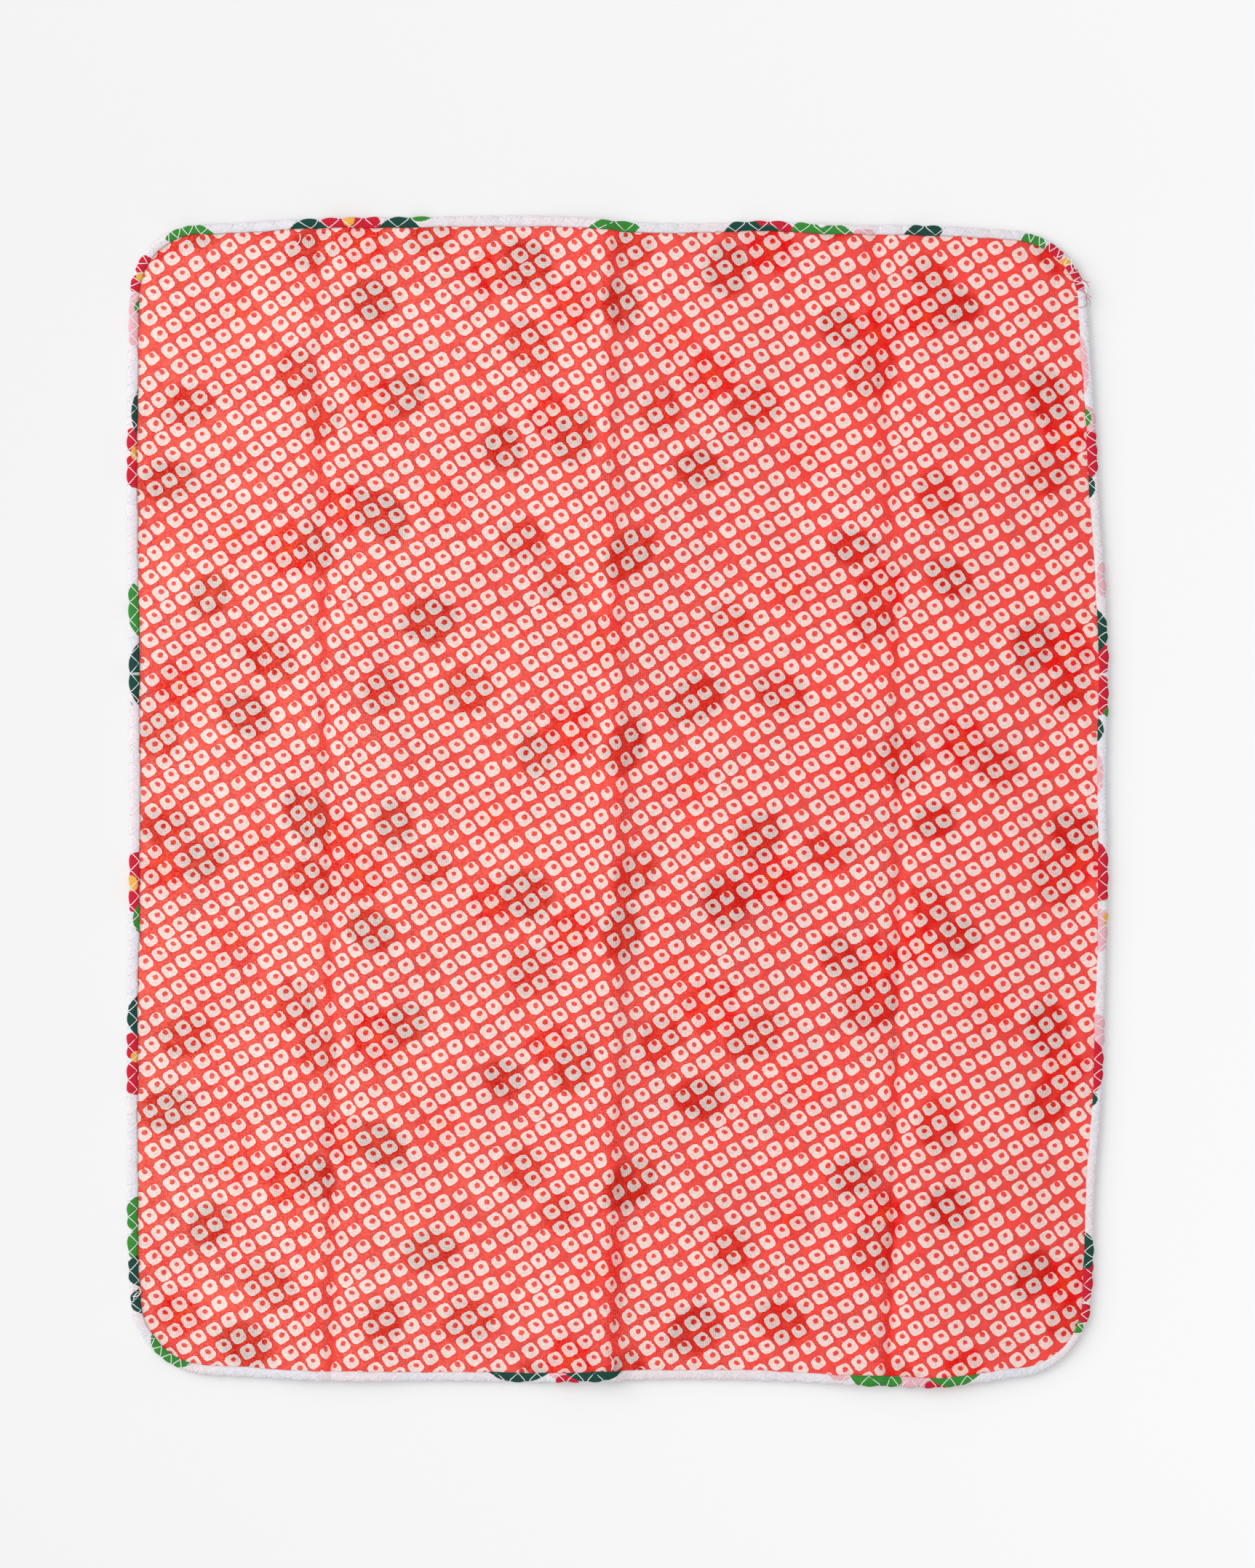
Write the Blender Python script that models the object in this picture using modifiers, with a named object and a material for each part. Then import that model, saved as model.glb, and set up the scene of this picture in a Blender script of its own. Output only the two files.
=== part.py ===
"""Two-layer cotton gauze handkerchief, opened out flat with its pressed folds.

The back cloth lies on the surface. Its edge turns up round the edge of the
front cloth and lies on top of it as a narrow hem. Both cloths follow the same
folds: two valleys and one ridge along the length, and two soft creases across.

Every size is in millimetres, and MM turns it into the metres of the scene.
X runs across the cloth, Y runs along it and Z is up.
"""

from collections import namedtuple

import bmesh
import bpy
import numpy as np

MM = 0.001

# The cloth as cut and hemmed, before its edges are pulled out of line
HALF_WIDTH = 125.0
HALF_LENGTH = 149.0
CORNER_RADIUS = 18.0

# The two layers and the turned hem
CLOTH_THICKNESS = 1.0
LAYER_GAP = 0.3
HEM_WIDTH = 2.8
BEND_STEPS = 4

# Lines of the pressed folds in the flat cloth
LEFT_FOLD = -75.0
MIDDLE_FOLD = -1.0
RIGHT_FOLD = 69.5
UPPER_FOLD = 50.0
LOWER_FOLD = -50.0

# Stations along the length at which a fold's height is given
STATIONS = (-HALF_LENGTH, LOWER_FOLD, 0.0, UPPER_FOLD, HALF_LENGTH)

# Rounding of a fold at its line, how fast a notch closes, and the step for the slope
FOLD_ROUNDING = 0.6
NOTCH_POWER = 2.5
SLOPE_STEP = 0.8

# Rises lower than this settle flat onto the surface, with a soft foot of this height
SETTLED = 0.1
FOOT = 0.3

# Insets from the outer edge at which the flat part of the cloth has a ring
FLAT_RINGS = (CORNER_RADIUS, 13.0, 8.5, 5.0)

Place = namedtuple("Place", "along shift")
Ridge = namedtuple(
    "Ridge", "line left right left_power right_power bottom lower middle upper top")
Swell = namedtuple("Swell", "line left right bottom lower middle upper top")
Notch = namedtuple("Notch", "line left right bottom lower middle upper top")
Crossing = namedtuple("Crossing", "line centre reach tail height")
Dome = namedtuple("Dome", "across along reach_across reach_along height")
Cloth = namedtuple("Cloth", "name colour roughness")

# How far each edge and fold lies from its straight line, by place along it
LEFT_EDGE = (
    Place(-149.0, 2.2), Place(-130.0, 0.6), Place(-112.0, -0.1), Place(-95.0, -0.1),
    Place(-60.0, -0.2), Place(-20.0, 0.4), Place(40.0, 0.3), Place(88.0, -0.2),
    Place(130.0, 0.4), Place(149.0, 0.6),
)
RIGHT_EDGE = (
    Place(-149.0, -5.0), Place(-124.0, -3.6), Place(-102.0, -3.0), Place(-80.0, -1.4),
    Place(-55.0, -0.5), Place(-20.0, 0.3), Place(5.0, 0.0), Place(35.0, 0.4), Place(76.0, -1.8),
    Place(110.0, -3.6), Place(132.0, -5.0), Place(149.0, -5.4),
)
TOP_EDGE = (
    Place(-125.0, -2.4), Place(-98.0, -1.4), Place(-84.0, -0.6), Place(-62.0, 0.1),
    Place(-45.0, 0.3), Place(-12.0, 0.3), Place(4.0, -1.0), Place(24.0, -1.4),
    Place(43.0, -0.8), Place(58.0, -1.8), Place(82.0, -2.0), Place(100.0, -2.9),
    Place(125.0, -4.8),
)
BOTTOM_EDGE = (
    Place(-125.0, 3.2), Place(-98.0, 1.9), Place(-76.0, 0.9), Place(-45.0, 0.8),
    Place(-20.0, 0.6), Place(2.0, 1.0), Place(25.0, 1.2), Place(47.0, 0.5), Place(69.0, -0.4),
    Place(85.0, -0.6), Place(102.0, 1.3), Place(125.0, 3.4),
)
LEFT_FOLD_PATH = (
    Place(-149.0, 1.9), Place(-85.0, 2.2), Place(-30.0, 1.5), Place(20.0, 0.5),
    Place(75.0, -0.4), Place(149.0, -1.7),
)
MIDDLE_FOLD_PATH = (
    Place(-149.0, -1.9), Place(-110.0, -1.4), Place(-60.0, -0.3), Place(-15.0, 0.4),
    Place(25.0, 0.6), Place(52.0, -0.4), Place(90.0, -1.2), Place(149.0, -2.2),
)
RIGHT_FOLD_PATH = (
    Place(-149.0, -0.4), Place(-90.0, 1.4), Place(-35.0, 2.2), Place(20.0, 2.1),
    Place(45.0, 1.6), Place(75.0, 0.0), Place(115.0, -2.4), Place(149.0, -3.7),
)
UPPER_FOLD_PATH = (
    Place(-125.0, 2.5), Place(-85.0, 2.5), Place(-60.0, -3.0), Place(-15.0, -3.6),
    Place(10.0, 2.8), Place(60.0, 3.6), Place(85.0, 2.5), Place(125.0, 2.5),
)
LOWER_FOLD_PATH = (
    Place(-125.0, 1.2), Place(-85.0, 1.2), Place(-60.0, -3.4), Place(-15.0, -4.2),
    Place(10.0, 2.0), Place(60.0, 2.3), Place(85.0, 0.4), Place(125.0, 0.3),
)

# The mountain fold: how far each slope reaches, how steeply it falls, and its height
RIDGES = (
    Ridge(MIDDLE_FOLD, 27.0, 12.0, 1.35, 3.2, 2.8, 2.1, 1.75, 1.15, 2.2),
)

# Valley folds: the broad swell along each, and the pointed notch pressed into it
SWELLS = (
    Swell(LEFT_FOLD, 24.0, 32.0, 1.25, 1.10, 1.15, 1.15, 1.05),
    Swell(RIGHT_FOLD, 28.0, 54.0, 1.75, 1.50, 1.45, 1.40, 1.20),
)
NOTCHES = (
    Notch(LEFT_FOLD, 4.0, 10.0, 0.65, 0.50, 0.75, 0.35, 0.60),
    Notch(RIGHT_FOLD, 4.0, 14.0, 1.20, 0.95, 0.95, 0.50, 0.55),
)

# Soft creases across one panel each
CROSSINGS = (
    Crossing(UPPER_FOLD, -100.0, 25.0, 14.0, 0.35),
    Crossing(LOWER_FOLD, -100.0, 25.0, 12.0, 0.45),
    Crossing(UPPER_FOLD, -38.0, 38.0, 14.0, 0.45),
    Crossing(LOWER_FOLD, -38.0, 38.0, 14.0, 0.30),
    Crossing(UPPER_FOLD, 34.0, 36.0, 16.0, 0.50),
    Crossing(LOWER_FOLD, 34.0, 36.0, 16.0, 0.45),
    Crossing(UPPER_FOLD, 97.0, 30.0, 16.0, 0.35),
    Crossing(LOWER_FOLD, 97.0, 30.0, 16.0, 0.40),
)

# Broad swells of single panels
DOMES = (
    Dome(96.0, 92.0, 26.0, 52.0, 0.75),
    Dome(94.0, -100.0, 27.0, 56.0, 0.90),
    Dome(-40.0, 100.0, 34.0, 50.0, 0.40),
    Dome(34.0, -104.0, 32.0, 46.0, 0.35),
    Dome(-104.0, -116.0, 24.0, 40.0, 0.30),
)

# Grid lines, closer together where the cloth bends
LINES_ACROSS = (
    -98.0, LEFT_FOLD - 10.0, LEFT_FOLD - 4.5, LEFT_FOLD - 1.3, LEFT_FOLD + 1.3,
    LEFT_FOLD + 4.5, LEFT_FOLD + 10.0, -48.0, MIDDLE_FOLD - 26.0, MIDDLE_FOLD - 12.0,
    MIDDLE_FOLD - 4.0, MIDDLE_FOLD - 1.0, MIDDLE_FOLD + 1.0, MIDDLE_FOLD + 3.5,
    MIDDLE_FOLD + 7.5, MIDDLE_FOLD + 13.0, MIDDLE_FOLD + 22.0, 42.0, RIGHT_FOLD - 10.0,
    RIGHT_FOLD - 4.0, RIGHT_FOLD - 1.3, RIGHT_FOLD + 1.3, RIGHT_FOLD + 4.5,
    RIGHT_FOLD + 10.0, 94.0, 104.0,
)
LINES_ALONG = (
    -118.0, -92.0, -66.0, LOWER_FOLD - 6.0, LOWER_FOLD, LOWER_FOLD + 6.0, -28.0, 0.0,
    28.0, UPPER_FOLD - 6.0, UPPER_FOLD, UPPER_FOLD + 6.0, 66.0, 92.0, 118.0,
)

FRONT = Cloth("front_cloth", (0.80, 0.10, 0.075, 1.0), 0.85)
BACK = Cloth("back_cloth", (0.78, 0.72, 0.74, 1.0), 0.85)


def clear_scene():
    """Remove every object of the open scene."""
    for item in list(bpy.data.objects):
        bpy.data.objects.remove(item, do_unlink=True)


def bell(ratio):
    """Return 1 at ratio 0, falling smoothly to 0 at ratio 1 and beyond."""
    return np.clip(1.0 - ratio ** 2, 0.0, None) ** 2


def through(places, at):
    """Return the shift at each value of at, on a smooth cubic through the places."""
    along = np.array([place.along for place in places])
    shift = np.array([place.shift for place in places])
    slope = np.gradient(shift, along)
    at = np.clip(at, along[0], along[-1])
    span = np.clip(np.searchsorted(along, at) - 1, 0, len(along) - 2)
    width = along[span + 1] - along[span]
    part = (at - along[span]) / width
    start = shift[span] * (1 + 2 * part) * (1 - part) ** 2
    finish = shift[span + 1] * (3 - 2 * part) * part ** 2
    leaving = slope[span] * width * part * (1 - part) ** 2
    arriving = slope[span + 1] * width * part ** 2 * (part - 1)
    return start + finish + leaving + arriving


def height_along(row, along):
    """Return a fold's height at each place along it, from the row's five stations."""
    heights = (row.bottom, row.lower, row.middle, row.upper, row.top)
    stations = [Place(place, height) for place, height in zip(STATIONS, heights)]
    return through(stations, along)


def rounded(away):
    """Return the distance from a fold's line, rounded off close to the line."""
    return np.sqrt(away ** 2 + FOLD_ROUNDING ** 2) - FOLD_ROUNDING


def ridge_height(row, across, along):
    """Height of the mountain fold: highest at its line, zero where its slopes end."""
    away = across - row.line
    reach = np.where(away < 0.0, row.left, row.right)
    power = np.where(away < 0.0, row.left_power, row.right_power)
    fall = np.clip(1.0 - rounded(away) / reach, 0.0, None) ** power
    return fall * height_along(row, along)


def swell_height(row, across, along):
    """Height of the broad swell along a valley fold."""
    away = across - row.line
    reach = np.where(away < 0.0, row.left, row.right)
    return bell(away / reach) * height_along(row, along)


def notch_depth(row, across, along):
    """Depth of a pointed valley: deepest at its line, closed at its width."""
    away = across - row.line
    width = np.where(away < 0.0, row.left, row.right)
    fall = np.clip(1.0 - rounded(away) / width, 0.0, None) ** NOTCH_POWER
    return fall * height_along(row, along)


def fold_height(across, along):
    """Height of the cloth's underside above the surface, from all the fold tables."""
    height = np.zeros_like(across)
    for row in RIDGES:
        height += ridge_height(row, across, along)
    for row in SWELLS:
        height += swell_height(row, across, along)
    for row in NOTCHES:
        height -= notch_depth(row, across, along)
    for row in CROSSINGS:
        beside = bell((across - row.centre) / row.reach)
        height += row.height * beside * bell((along - row.line) / row.tail)
    for row in DOMES:
        beside = bell((across - row.across) / row.reach_across)
        height += row.height * beside * bell((along - row.along) / row.reach_along)
    lifted = np.clip(height - SETTLED, 0.0, None)
    return np.where(lifted < FOOT, 0.5 * lifted ** 2 / FOOT, lifted - 0.5 * FOOT)


def pulled(across, along):
    """Move flat places to where the uneven edges and folds of the real cloth lie."""
    knots_across = (-HALF_WIDTH, LEFT_FOLD, MIDDLE_FOLD, RIGHT_FOLD, HALF_WIDTH)
    paths_across = (LEFT_EDGE, LEFT_FOLD_PATH, MIDDLE_FOLD_PATH, RIGHT_FOLD_PATH, RIGHT_EDGE)
    knots_along = (-HALF_LENGTH, LOWER_FOLD, UPPER_FOLD, HALF_LENGTH)
    paths_along = (BOTTOM_EDGE, LOWER_FOLD_PATH, UPPER_FOLD_PATH, TOP_EDGE)
    moved_across = across + blended(knots_across, paths_across, across, along)
    moved_along = along + blended(knots_along, paths_along, along, across)
    return moved_across, moved_along


def blended(knots, paths, at, along):
    """Return the shift at each place, straight between the paths on either side of it."""
    shifts = np.stack([through(path, along) for path in paths])
    span = np.clip(np.searchsorted(knots, at) - 1, 0, len(knots) - 2)
    knots = np.asarray(knots)
    part = np.clip((at - knots[span]) / (knots[span + 1] - knots[span]), 0.0, 1.0)
    rows = np.arange(len(at))
    return shifts[span, rows] * (1.0 - part) + shifts[span + 1, rows] * part


def placed(across, along, rise):
    """Place points that lie a rise above the underside, square to the folded cloth."""
    height = fold_height(across, along)
    rise_across = (
        fold_height(across + SLOPE_STEP, along) - fold_height(across - SLOPE_STEP, along))
    rise_along = (
        fold_height(across, along + SLOPE_STEP) - fold_height(across, along - SLOPE_STEP))
    slope_across = 0.5 * rise_across / SLOPE_STEP
    slope_along = 0.5 * rise_along / SLOPE_STEP
    steepness = np.sqrt(1.0 + slope_across ** 2 + slope_along ** 2)
    x, y = pulled(across, along)
    return np.column_stack((
        x - rise * slope_across / steepness,
        y - rise * slope_along / steepness,
        height + rise / steepness,
    ))


def front_rings():
    """Return the inset and rise of the front cloth's rings, from the corner's centre out."""
    rise = 1.5 * CLOTH_THICKNESS + LAYER_GAP
    edge_inset = 0.5 * CLOTH_THICKNESS + CLOTH_THICKNESS + LAYER_GAP
    insets = FLAT_RINGS + (edge_inset,)
    return [(inset, rise) for inset in insets]


def back_rings():
    """Return the same for the back cloth, whose last rings go round the bend to the hem."""
    bend_radius = CLOTH_THICKNESS + LAYER_GAP
    bend_inset = 0.5 * CLOTH_THICKNESS + bend_radius
    low = 0.5 * CLOTH_THICKNESS
    rings = [(inset, low) for inset in FLAT_RINGS]
    for angle in np.linspace(-0.5 * np.pi, 0.5 * np.pi, BEND_STEPS + 1):
        inset = bend_inset - bend_radius * np.cos(angle)
        rings.append((inset, low + bend_radius * (1.0 + np.sin(angle))))
    rings.append((HEM_WIDTH, low + 2.0 * bend_radius))
    return rings


def axis_lines(lines, half_size, ring_count):
    """Return a grid's lines on one axis: side, ring number and place inside the corners.

    Ring 0 is the line through the corners' centres. Higher rings lie towards the edge.
    """
    limit = half_size - CORNER_RADIUS
    low = [(-1, ring, -limit) for ring in range(ring_count - 1, -1, -1)]
    middle = [(0, 0, place) for place in lines]
    high = [(1, ring, limit) for ring in range(ring_count)]
    return np.array(low + middle + high)


def sheet_points(rings):
    """Return the size of a sheet's grid and the place of each of its points.

    Away from the corners a ring is a straight line at its inset. In a corner the
    square of two sets of rings becomes a quarter disc: the higher ring number
    gives the radius, and the ratio of the two gives the angle.
    """
    columns = axis_lines(LINES_ACROSS, HALF_WIDTH, len(rings))
    rows = axis_lines(LINES_ALONG, HALF_LENGTH, len(rings))
    count_across, count_along = len(columns), len(rows)
    columns = np.tile(columns, (count_along, 1))
    rows = np.repeat(rows, count_across, axis=0)
    insets = np.array([inset for inset, _ in rings])
    rises = np.array([rise for _, rise in rings])
    ring_across = columns[:, 1].astype(int)
    ring_along = rows[:, 1].astype(int)
    outer = np.maximum(ring_across, ring_along)
    inner = np.minimum(ring_across, ring_along)
    turn = 0.25 * np.pi * inner / np.maximum(outer, 1)
    radius = CORNER_RADIUS - insets[outer]
    far, near = radius * np.cos(turn), radius * np.sin(turn)
    across = columns[:, 2] + columns[:, 0] * np.where(ring_across >= ring_along, far, near)
    along = rows[:, 2] + rows[:, 0] * np.where(ring_along >= ring_across, far, near)
    return count_across, count_along, placed(across, along, rises[outer])


def cloth_material(cloth):
    """Make the cloth's own plain woven finish."""
    material = bpy.data.materials.new(cloth.name)
    material.use_nodes = True
    shader = material.node_tree.nodes["Principled BSDF"]
    shader.inputs["Base Color"].default_value = cloth.colour
    shader.inputs["Roughness"].default_value = cloth.roughness
    shader.inputs["Metallic"].default_value = 0.0
    return material


def middle_of(points):
    """Return the centre of the points across and along, and zero for the height."""
    centre = 0.5 * (points.min(axis=0) + points.max(axis=0))
    centre[2] = 0.0
    return centre


def add_cloth(cloth, rings, centre, collection):
    """Add one cloth: a grid moved onto the folds, then given its thickness."""
    count_across, count_along, points = sheet_points(rings)
    mesh = bpy.data.meshes.new(cloth.name)
    grid = bmesh.new()
    bmesh.ops.create_grid(
        grid, x_segments=count_across - 1, y_segments=count_along - 1, size=1.0)
    ordered = sorted(grid.verts, key=lambda vert: (round(vert.co.y, 4), round(vert.co.x, 4)))
    for vert, point in zip(ordered, (points - centre) * MM):
        vert.co = point
    grid.to_mesh(mesh)
    grid.free()
    mesh.shade_smooth()
    mesh.materials.append(cloth_material(cloth))
    body = bpy.data.objects.new(cloth.name, mesh)
    collection.objects.link(body)
    solid = body.modifiers.new("thickness", "SOLIDIFY")
    solid.thickness = CLOTH_THICKNESS * MM
    solid.offset = 0.0
    return body


def main():
    """Build the handkerchief with the middle of its outline over the origin."""
    clear_scene()
    collection = bpy.data.collections.new("handkerchief")
    bpy.context.scene.collection.children.link(collection)
    centre = middle_of(sheet_points(back_rings())[2])
    add_cloth(BACK, back_rings(), centre, collection)
    add_cloth(FRONT, front_rings(), centre, collection)


main()
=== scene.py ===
"""Finished look of the two-layer cotton gauze handkerchief.

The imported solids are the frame. Both gauze sheets, the overcast sewing thread
and the loose fibres are built here as thin meshes on the same pressed folds.

Lengths are in millimetres until a mesh is made, where MM turns them into metres.
A flat place is (across, along): where a point lies in the cloth while the cloth
is smooth and square. X runs across, Y runs along and Z is up.
"""

import logging
from collections.abc import Callable, Iterable
from dataclasses import dataclass, field
from enum import Enum
from typing import NamedTuple, TypeVar

import bpy
import numpy as np
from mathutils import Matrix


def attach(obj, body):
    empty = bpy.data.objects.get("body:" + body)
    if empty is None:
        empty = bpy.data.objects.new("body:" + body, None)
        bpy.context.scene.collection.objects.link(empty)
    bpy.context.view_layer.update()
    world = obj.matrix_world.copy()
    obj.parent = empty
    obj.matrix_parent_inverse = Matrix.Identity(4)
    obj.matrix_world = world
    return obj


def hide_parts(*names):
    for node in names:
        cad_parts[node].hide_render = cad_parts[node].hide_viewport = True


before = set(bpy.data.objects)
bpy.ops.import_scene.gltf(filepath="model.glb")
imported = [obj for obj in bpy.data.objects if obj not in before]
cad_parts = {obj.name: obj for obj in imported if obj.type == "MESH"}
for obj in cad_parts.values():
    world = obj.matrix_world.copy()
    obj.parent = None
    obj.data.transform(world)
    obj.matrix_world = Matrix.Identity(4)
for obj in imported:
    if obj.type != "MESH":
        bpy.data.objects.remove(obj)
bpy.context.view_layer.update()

MM = 0.001
STEEP = 0.9
TAPER = 0.25
THREAD_WHITE = (0.90, 0.90, 0.915, 1.0)
LOG = logging.getLogger("handkerchief")
Row = TypeVar("Row")
Colour = tuple[float, float, float, float]
Array = np.ndarray
Pair = tuple[Array, Array]
Piece = bpy.types.Object
Socket = bpy.types.NodeSocket


class Place(NamedTuple):
    """A sideways shift at one place along a line."""

    along: float
    shift: float


class Ridge(NamedTuple):
    """A mountain fold: the reach and the power of its left and right slopes."""

    line: float
    reach: tuple[float, float]
    power: tuple[float, float]
    heights: tuple[float, ...]


class Valley(NamedTuple):
    """A swell or a notch along a valley fold, with its reach to the left and right."""

    line: float
    reach: tuple[float, float]
    heights: tuple[float, ...]


class Dome(NamedTuple):
    """A broad swell of one panel, or a soft crease across it."""

    across: float
    along: float
    reach_across: float
    reach_along: float
    height: float


class Crease(NamedTuple):
    """A fine pressed line, a trough where its height is negative."""

    upright: bool
    line: float
    start: float
    end: float
    width: float
    height: float


class Ripple(NamedTuple):
    """One long, low wave in the resting cloth."""

    length: float
    heading: float
    phase: float
    height: float


class Lumps(NamedTuple):
    """Soft noise in a finish: its scale, its detail and how much it counts."""

    scale: float
    detail: float
    weight: float


def grey(level: float) -> Colour:
    """Return a level of grey as a colour."""
    return level, level, level, 1.0


def table(kind: type[Row], *rows: tuple) -> tuple[Row, ...]:
    """Return rows of values as one table of their kind."""
    return tuple(kind(*row) for row in rows)


LEFT_EDGE = table(
    Place, (-149.0, 2.2), (-130.0, 0.6), (-112.0, -0.1), (-95.0, -0.1), (-60.0, -0.2), (-20.0, 0.4),
    (40.0, 0.3), (88.0, -0.2), (130.0, 0.4), (149.0, 0.6),
)
RIGHT_EDGE = table(
    Place, (-149.0, -5.0), (-124.0, -3.6), (-102.0, -3.0), (-80.0, -1.4), (-55.0, -0.5), (-20.0, 0.3),
    (5.0, 0.0), (35.0, 0.4), (76.0, -1.8), (110.0, -3.6), (132.0, -5.0), (149.0, -5.4),
)
TOP_EDGE = table(
    Place, (-125.0, -2.4), (-98.0, -1.4), (-84.0, -0.6), (-62.0, 0.1), (-45.0, 0.3), (-12.0, 0.3),
    (4.0, -1.0), (24.0, -1.4), (43.0, -0.8), (58.0, -1.8), (82.0, -2.0), (100.0, -2.9),
    (125.0, -4.8),
)
BOTTOM_EDGE = table(
    Place, (-125.0, 3.2), (-98.0, 1.9), (-76.0, 0.9), (-45.0, 0.8), (-20.0, 0.6), (2.0, 1.0),
    (25.0, 1.2), (47.0, 0.5), (69.0, -0.4), (85.0, -0.6), (102.0, 1.3), (125.0, 3.4),
)
LEFT_FOLD_PATH = table(
    Place, (-149.0, 1.9), (-85.0, 2.2), (-30.0, 1.5), (20.0, 0.5), (75.0, -0.4), (149.0, -1.7),
)
MIDDLE_FOLD_PATH = table(
    Place, (-149.0, -1.9), (-110.0, -1.4), (-60.0, -0.3), (-15.0, 0.4), (25.0, 0.6),
    (52.0, -0.4), (90.0, -1.2), (149.0, -2.2),
)
RIGHT_FOLD_PATH = table(
    Place, (-149.0, -0.4), (-90.0, 1.4), (-35.0, 2.2), (20.0, 2.1), (45.0, 1.6),
    (75.0, 0.0), (115.0, -2.4), (149.0, -3.7),
)
UPPER_FOLD_PATH = table(
    Place, (-125.0, 2.5), (-85.0, 2.5), (-60.0, -3.0), (-15.0, -3.6), (10.0, 2.8),
    (60.0, 3.6), (85.0, 2.5), (125.0, 2.5),
)
LOWER_FOLD_PATH = table(
    Place, (-125.0, 1.2), (-85.0, 1.2), (-60.0, -3.4), (-15.0, -4.2), (10.0, 2.0),
    (60.0, 2.3), (85.0, 0.4), (125.0, 0.3),
)

RIDGES = table(
    Ridge,
    (-1.0, (27.0, 12.0), (1.35, 3.2), (2.8, 2.1, 1.75, 1.15, 2.2)),
)
SWELLS = table(
    Valley,
    (-75.0, (24.0, 32.0), (1.25, 1.10, 1.15, 1.15, 1.05)),
    (69.5, (28.0, 54.0), (1.75, 1.50, 1.45, 1.40, 1.20)),
)
NOTCHES = table(
    Valley,
    (-75.0, (4.0, 10.0), (0.65, 0.50, 0.75, 0.35, 0.60)),
    (69.5, (4.0, 14.0), (1.20, 0.95, 0.95, 0.50, 0.55)),
)
DOMES = table(
    Dome,
    (-100.0, 50.0, 25.0, 14.0, 0.35), (-100.0, -50.0, 25.0, 12.0, 0.45),
    (-38.0, 50.0, 38.0, 14.0, 0.45), (-38.0, -50.0, 38.0, 14.0, 0.30),
    (34.0, 50.0, 36.0, 16.0, 0.50), (34.0, -50.0, 36.0, 16.0, 0.45),
    (97.0, 50.0, 30.0, 16.0, 0.35), (97.0, -50.0, 30.0, 16.0, 0.40),
    (96.0, 92.0, 26.0, 52.0, 0.75), (94.0, -100.0, 27.0, 56.0, 0.90),
    (-40.0, 100.0, 34.0, 50.0, 0.40), (34.0, -104.0, 32.0, 46.0, 0.35),
    (-104.0, -116.0, 24.0, 40.0, 0.30),
)
CREASES = table(
    Crease,
    (False, -48.5, -122.0, -78.0, 1.3, -0.16), (False, 51.5, -120.0, -80.0, 1.6, -0.07),
    (False, 46.0, -68.0, -8.0, 1.8, -0.08), (False, -54.0, -66.0, -10.0, 1.6, -0.09),
    (False, 53.5, 8.0, 62.0, 1.8, -0.08), (False, -47.5, 6.0, 60.0, 1.6, -0.08),
    (False, 52.5, 76.0, 120.0, 1.7, -0.09), (False, -49.5, 76.0, 120.0, 1.7, -0.08),
    (True, -26.0, -140.0, 60.0, 3.0, 0.12), (True, 19.5, -60.0, 140.0, 3.4, 0.14),
    (True, -96.0, -130.0, 20.0, 3.6, 0.08), (True, 100.0, -20.0, 130.0, 4.0, 0.10),
)
RIPPLES = table(
    Ripple,
    (54.0, 24.0, 0.4, 0.060), (41.0, 112.0, 2.3, 0.050), (31.0, 68.0, 4.1, 0.042),
    (23.0, 151.0, 1.2, 0.030), (17.0, 8.0, 5.2, 0.020), (12.5, 95.0, 3.3, 0.013),
)


def bell(ratio: Array) -> Array:
    """Return 1 at ratio 0, falling smoothly to 0 at ratio 1 and beyond.

    Formula: one less the squared ratio, never below zero, squared.
    """
    return np.clip(1.0 - ratio ** 2, 0.0, None) ** 2


def through(path: tuple[Place, ...], at: Array) -> Array:
    """Return the shift at each value on a smooth cubic through the places.

    Args:
        path: places in rising order.
        at: values along the line.

    Returns:
        The shift at each value, held level beyond both ends.
    """
    along, shift = np.array(path).T
    slope = np.gradient(shift, along)
    at = np.clip(at, along[0], along[-1])
    span = np.clip(np.searchsorted(along, at) - 1, 0, len(along) - 2)
    width = along[span + 1] - along[span]
    part = (at - along[span]) / width
    start = shift[span] * (1 + 2 * part) * (1 - part) ** 2
    finish = shift[span + 1] * (3 - 2 * part) * part ** 2
    leaving = slope[span] * width * part * (1 - part) ** 2
    arriving = slope[span + 1] * width * part ** 2 * (part - 1)
    return start + finish + leaving + arriving


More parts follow.
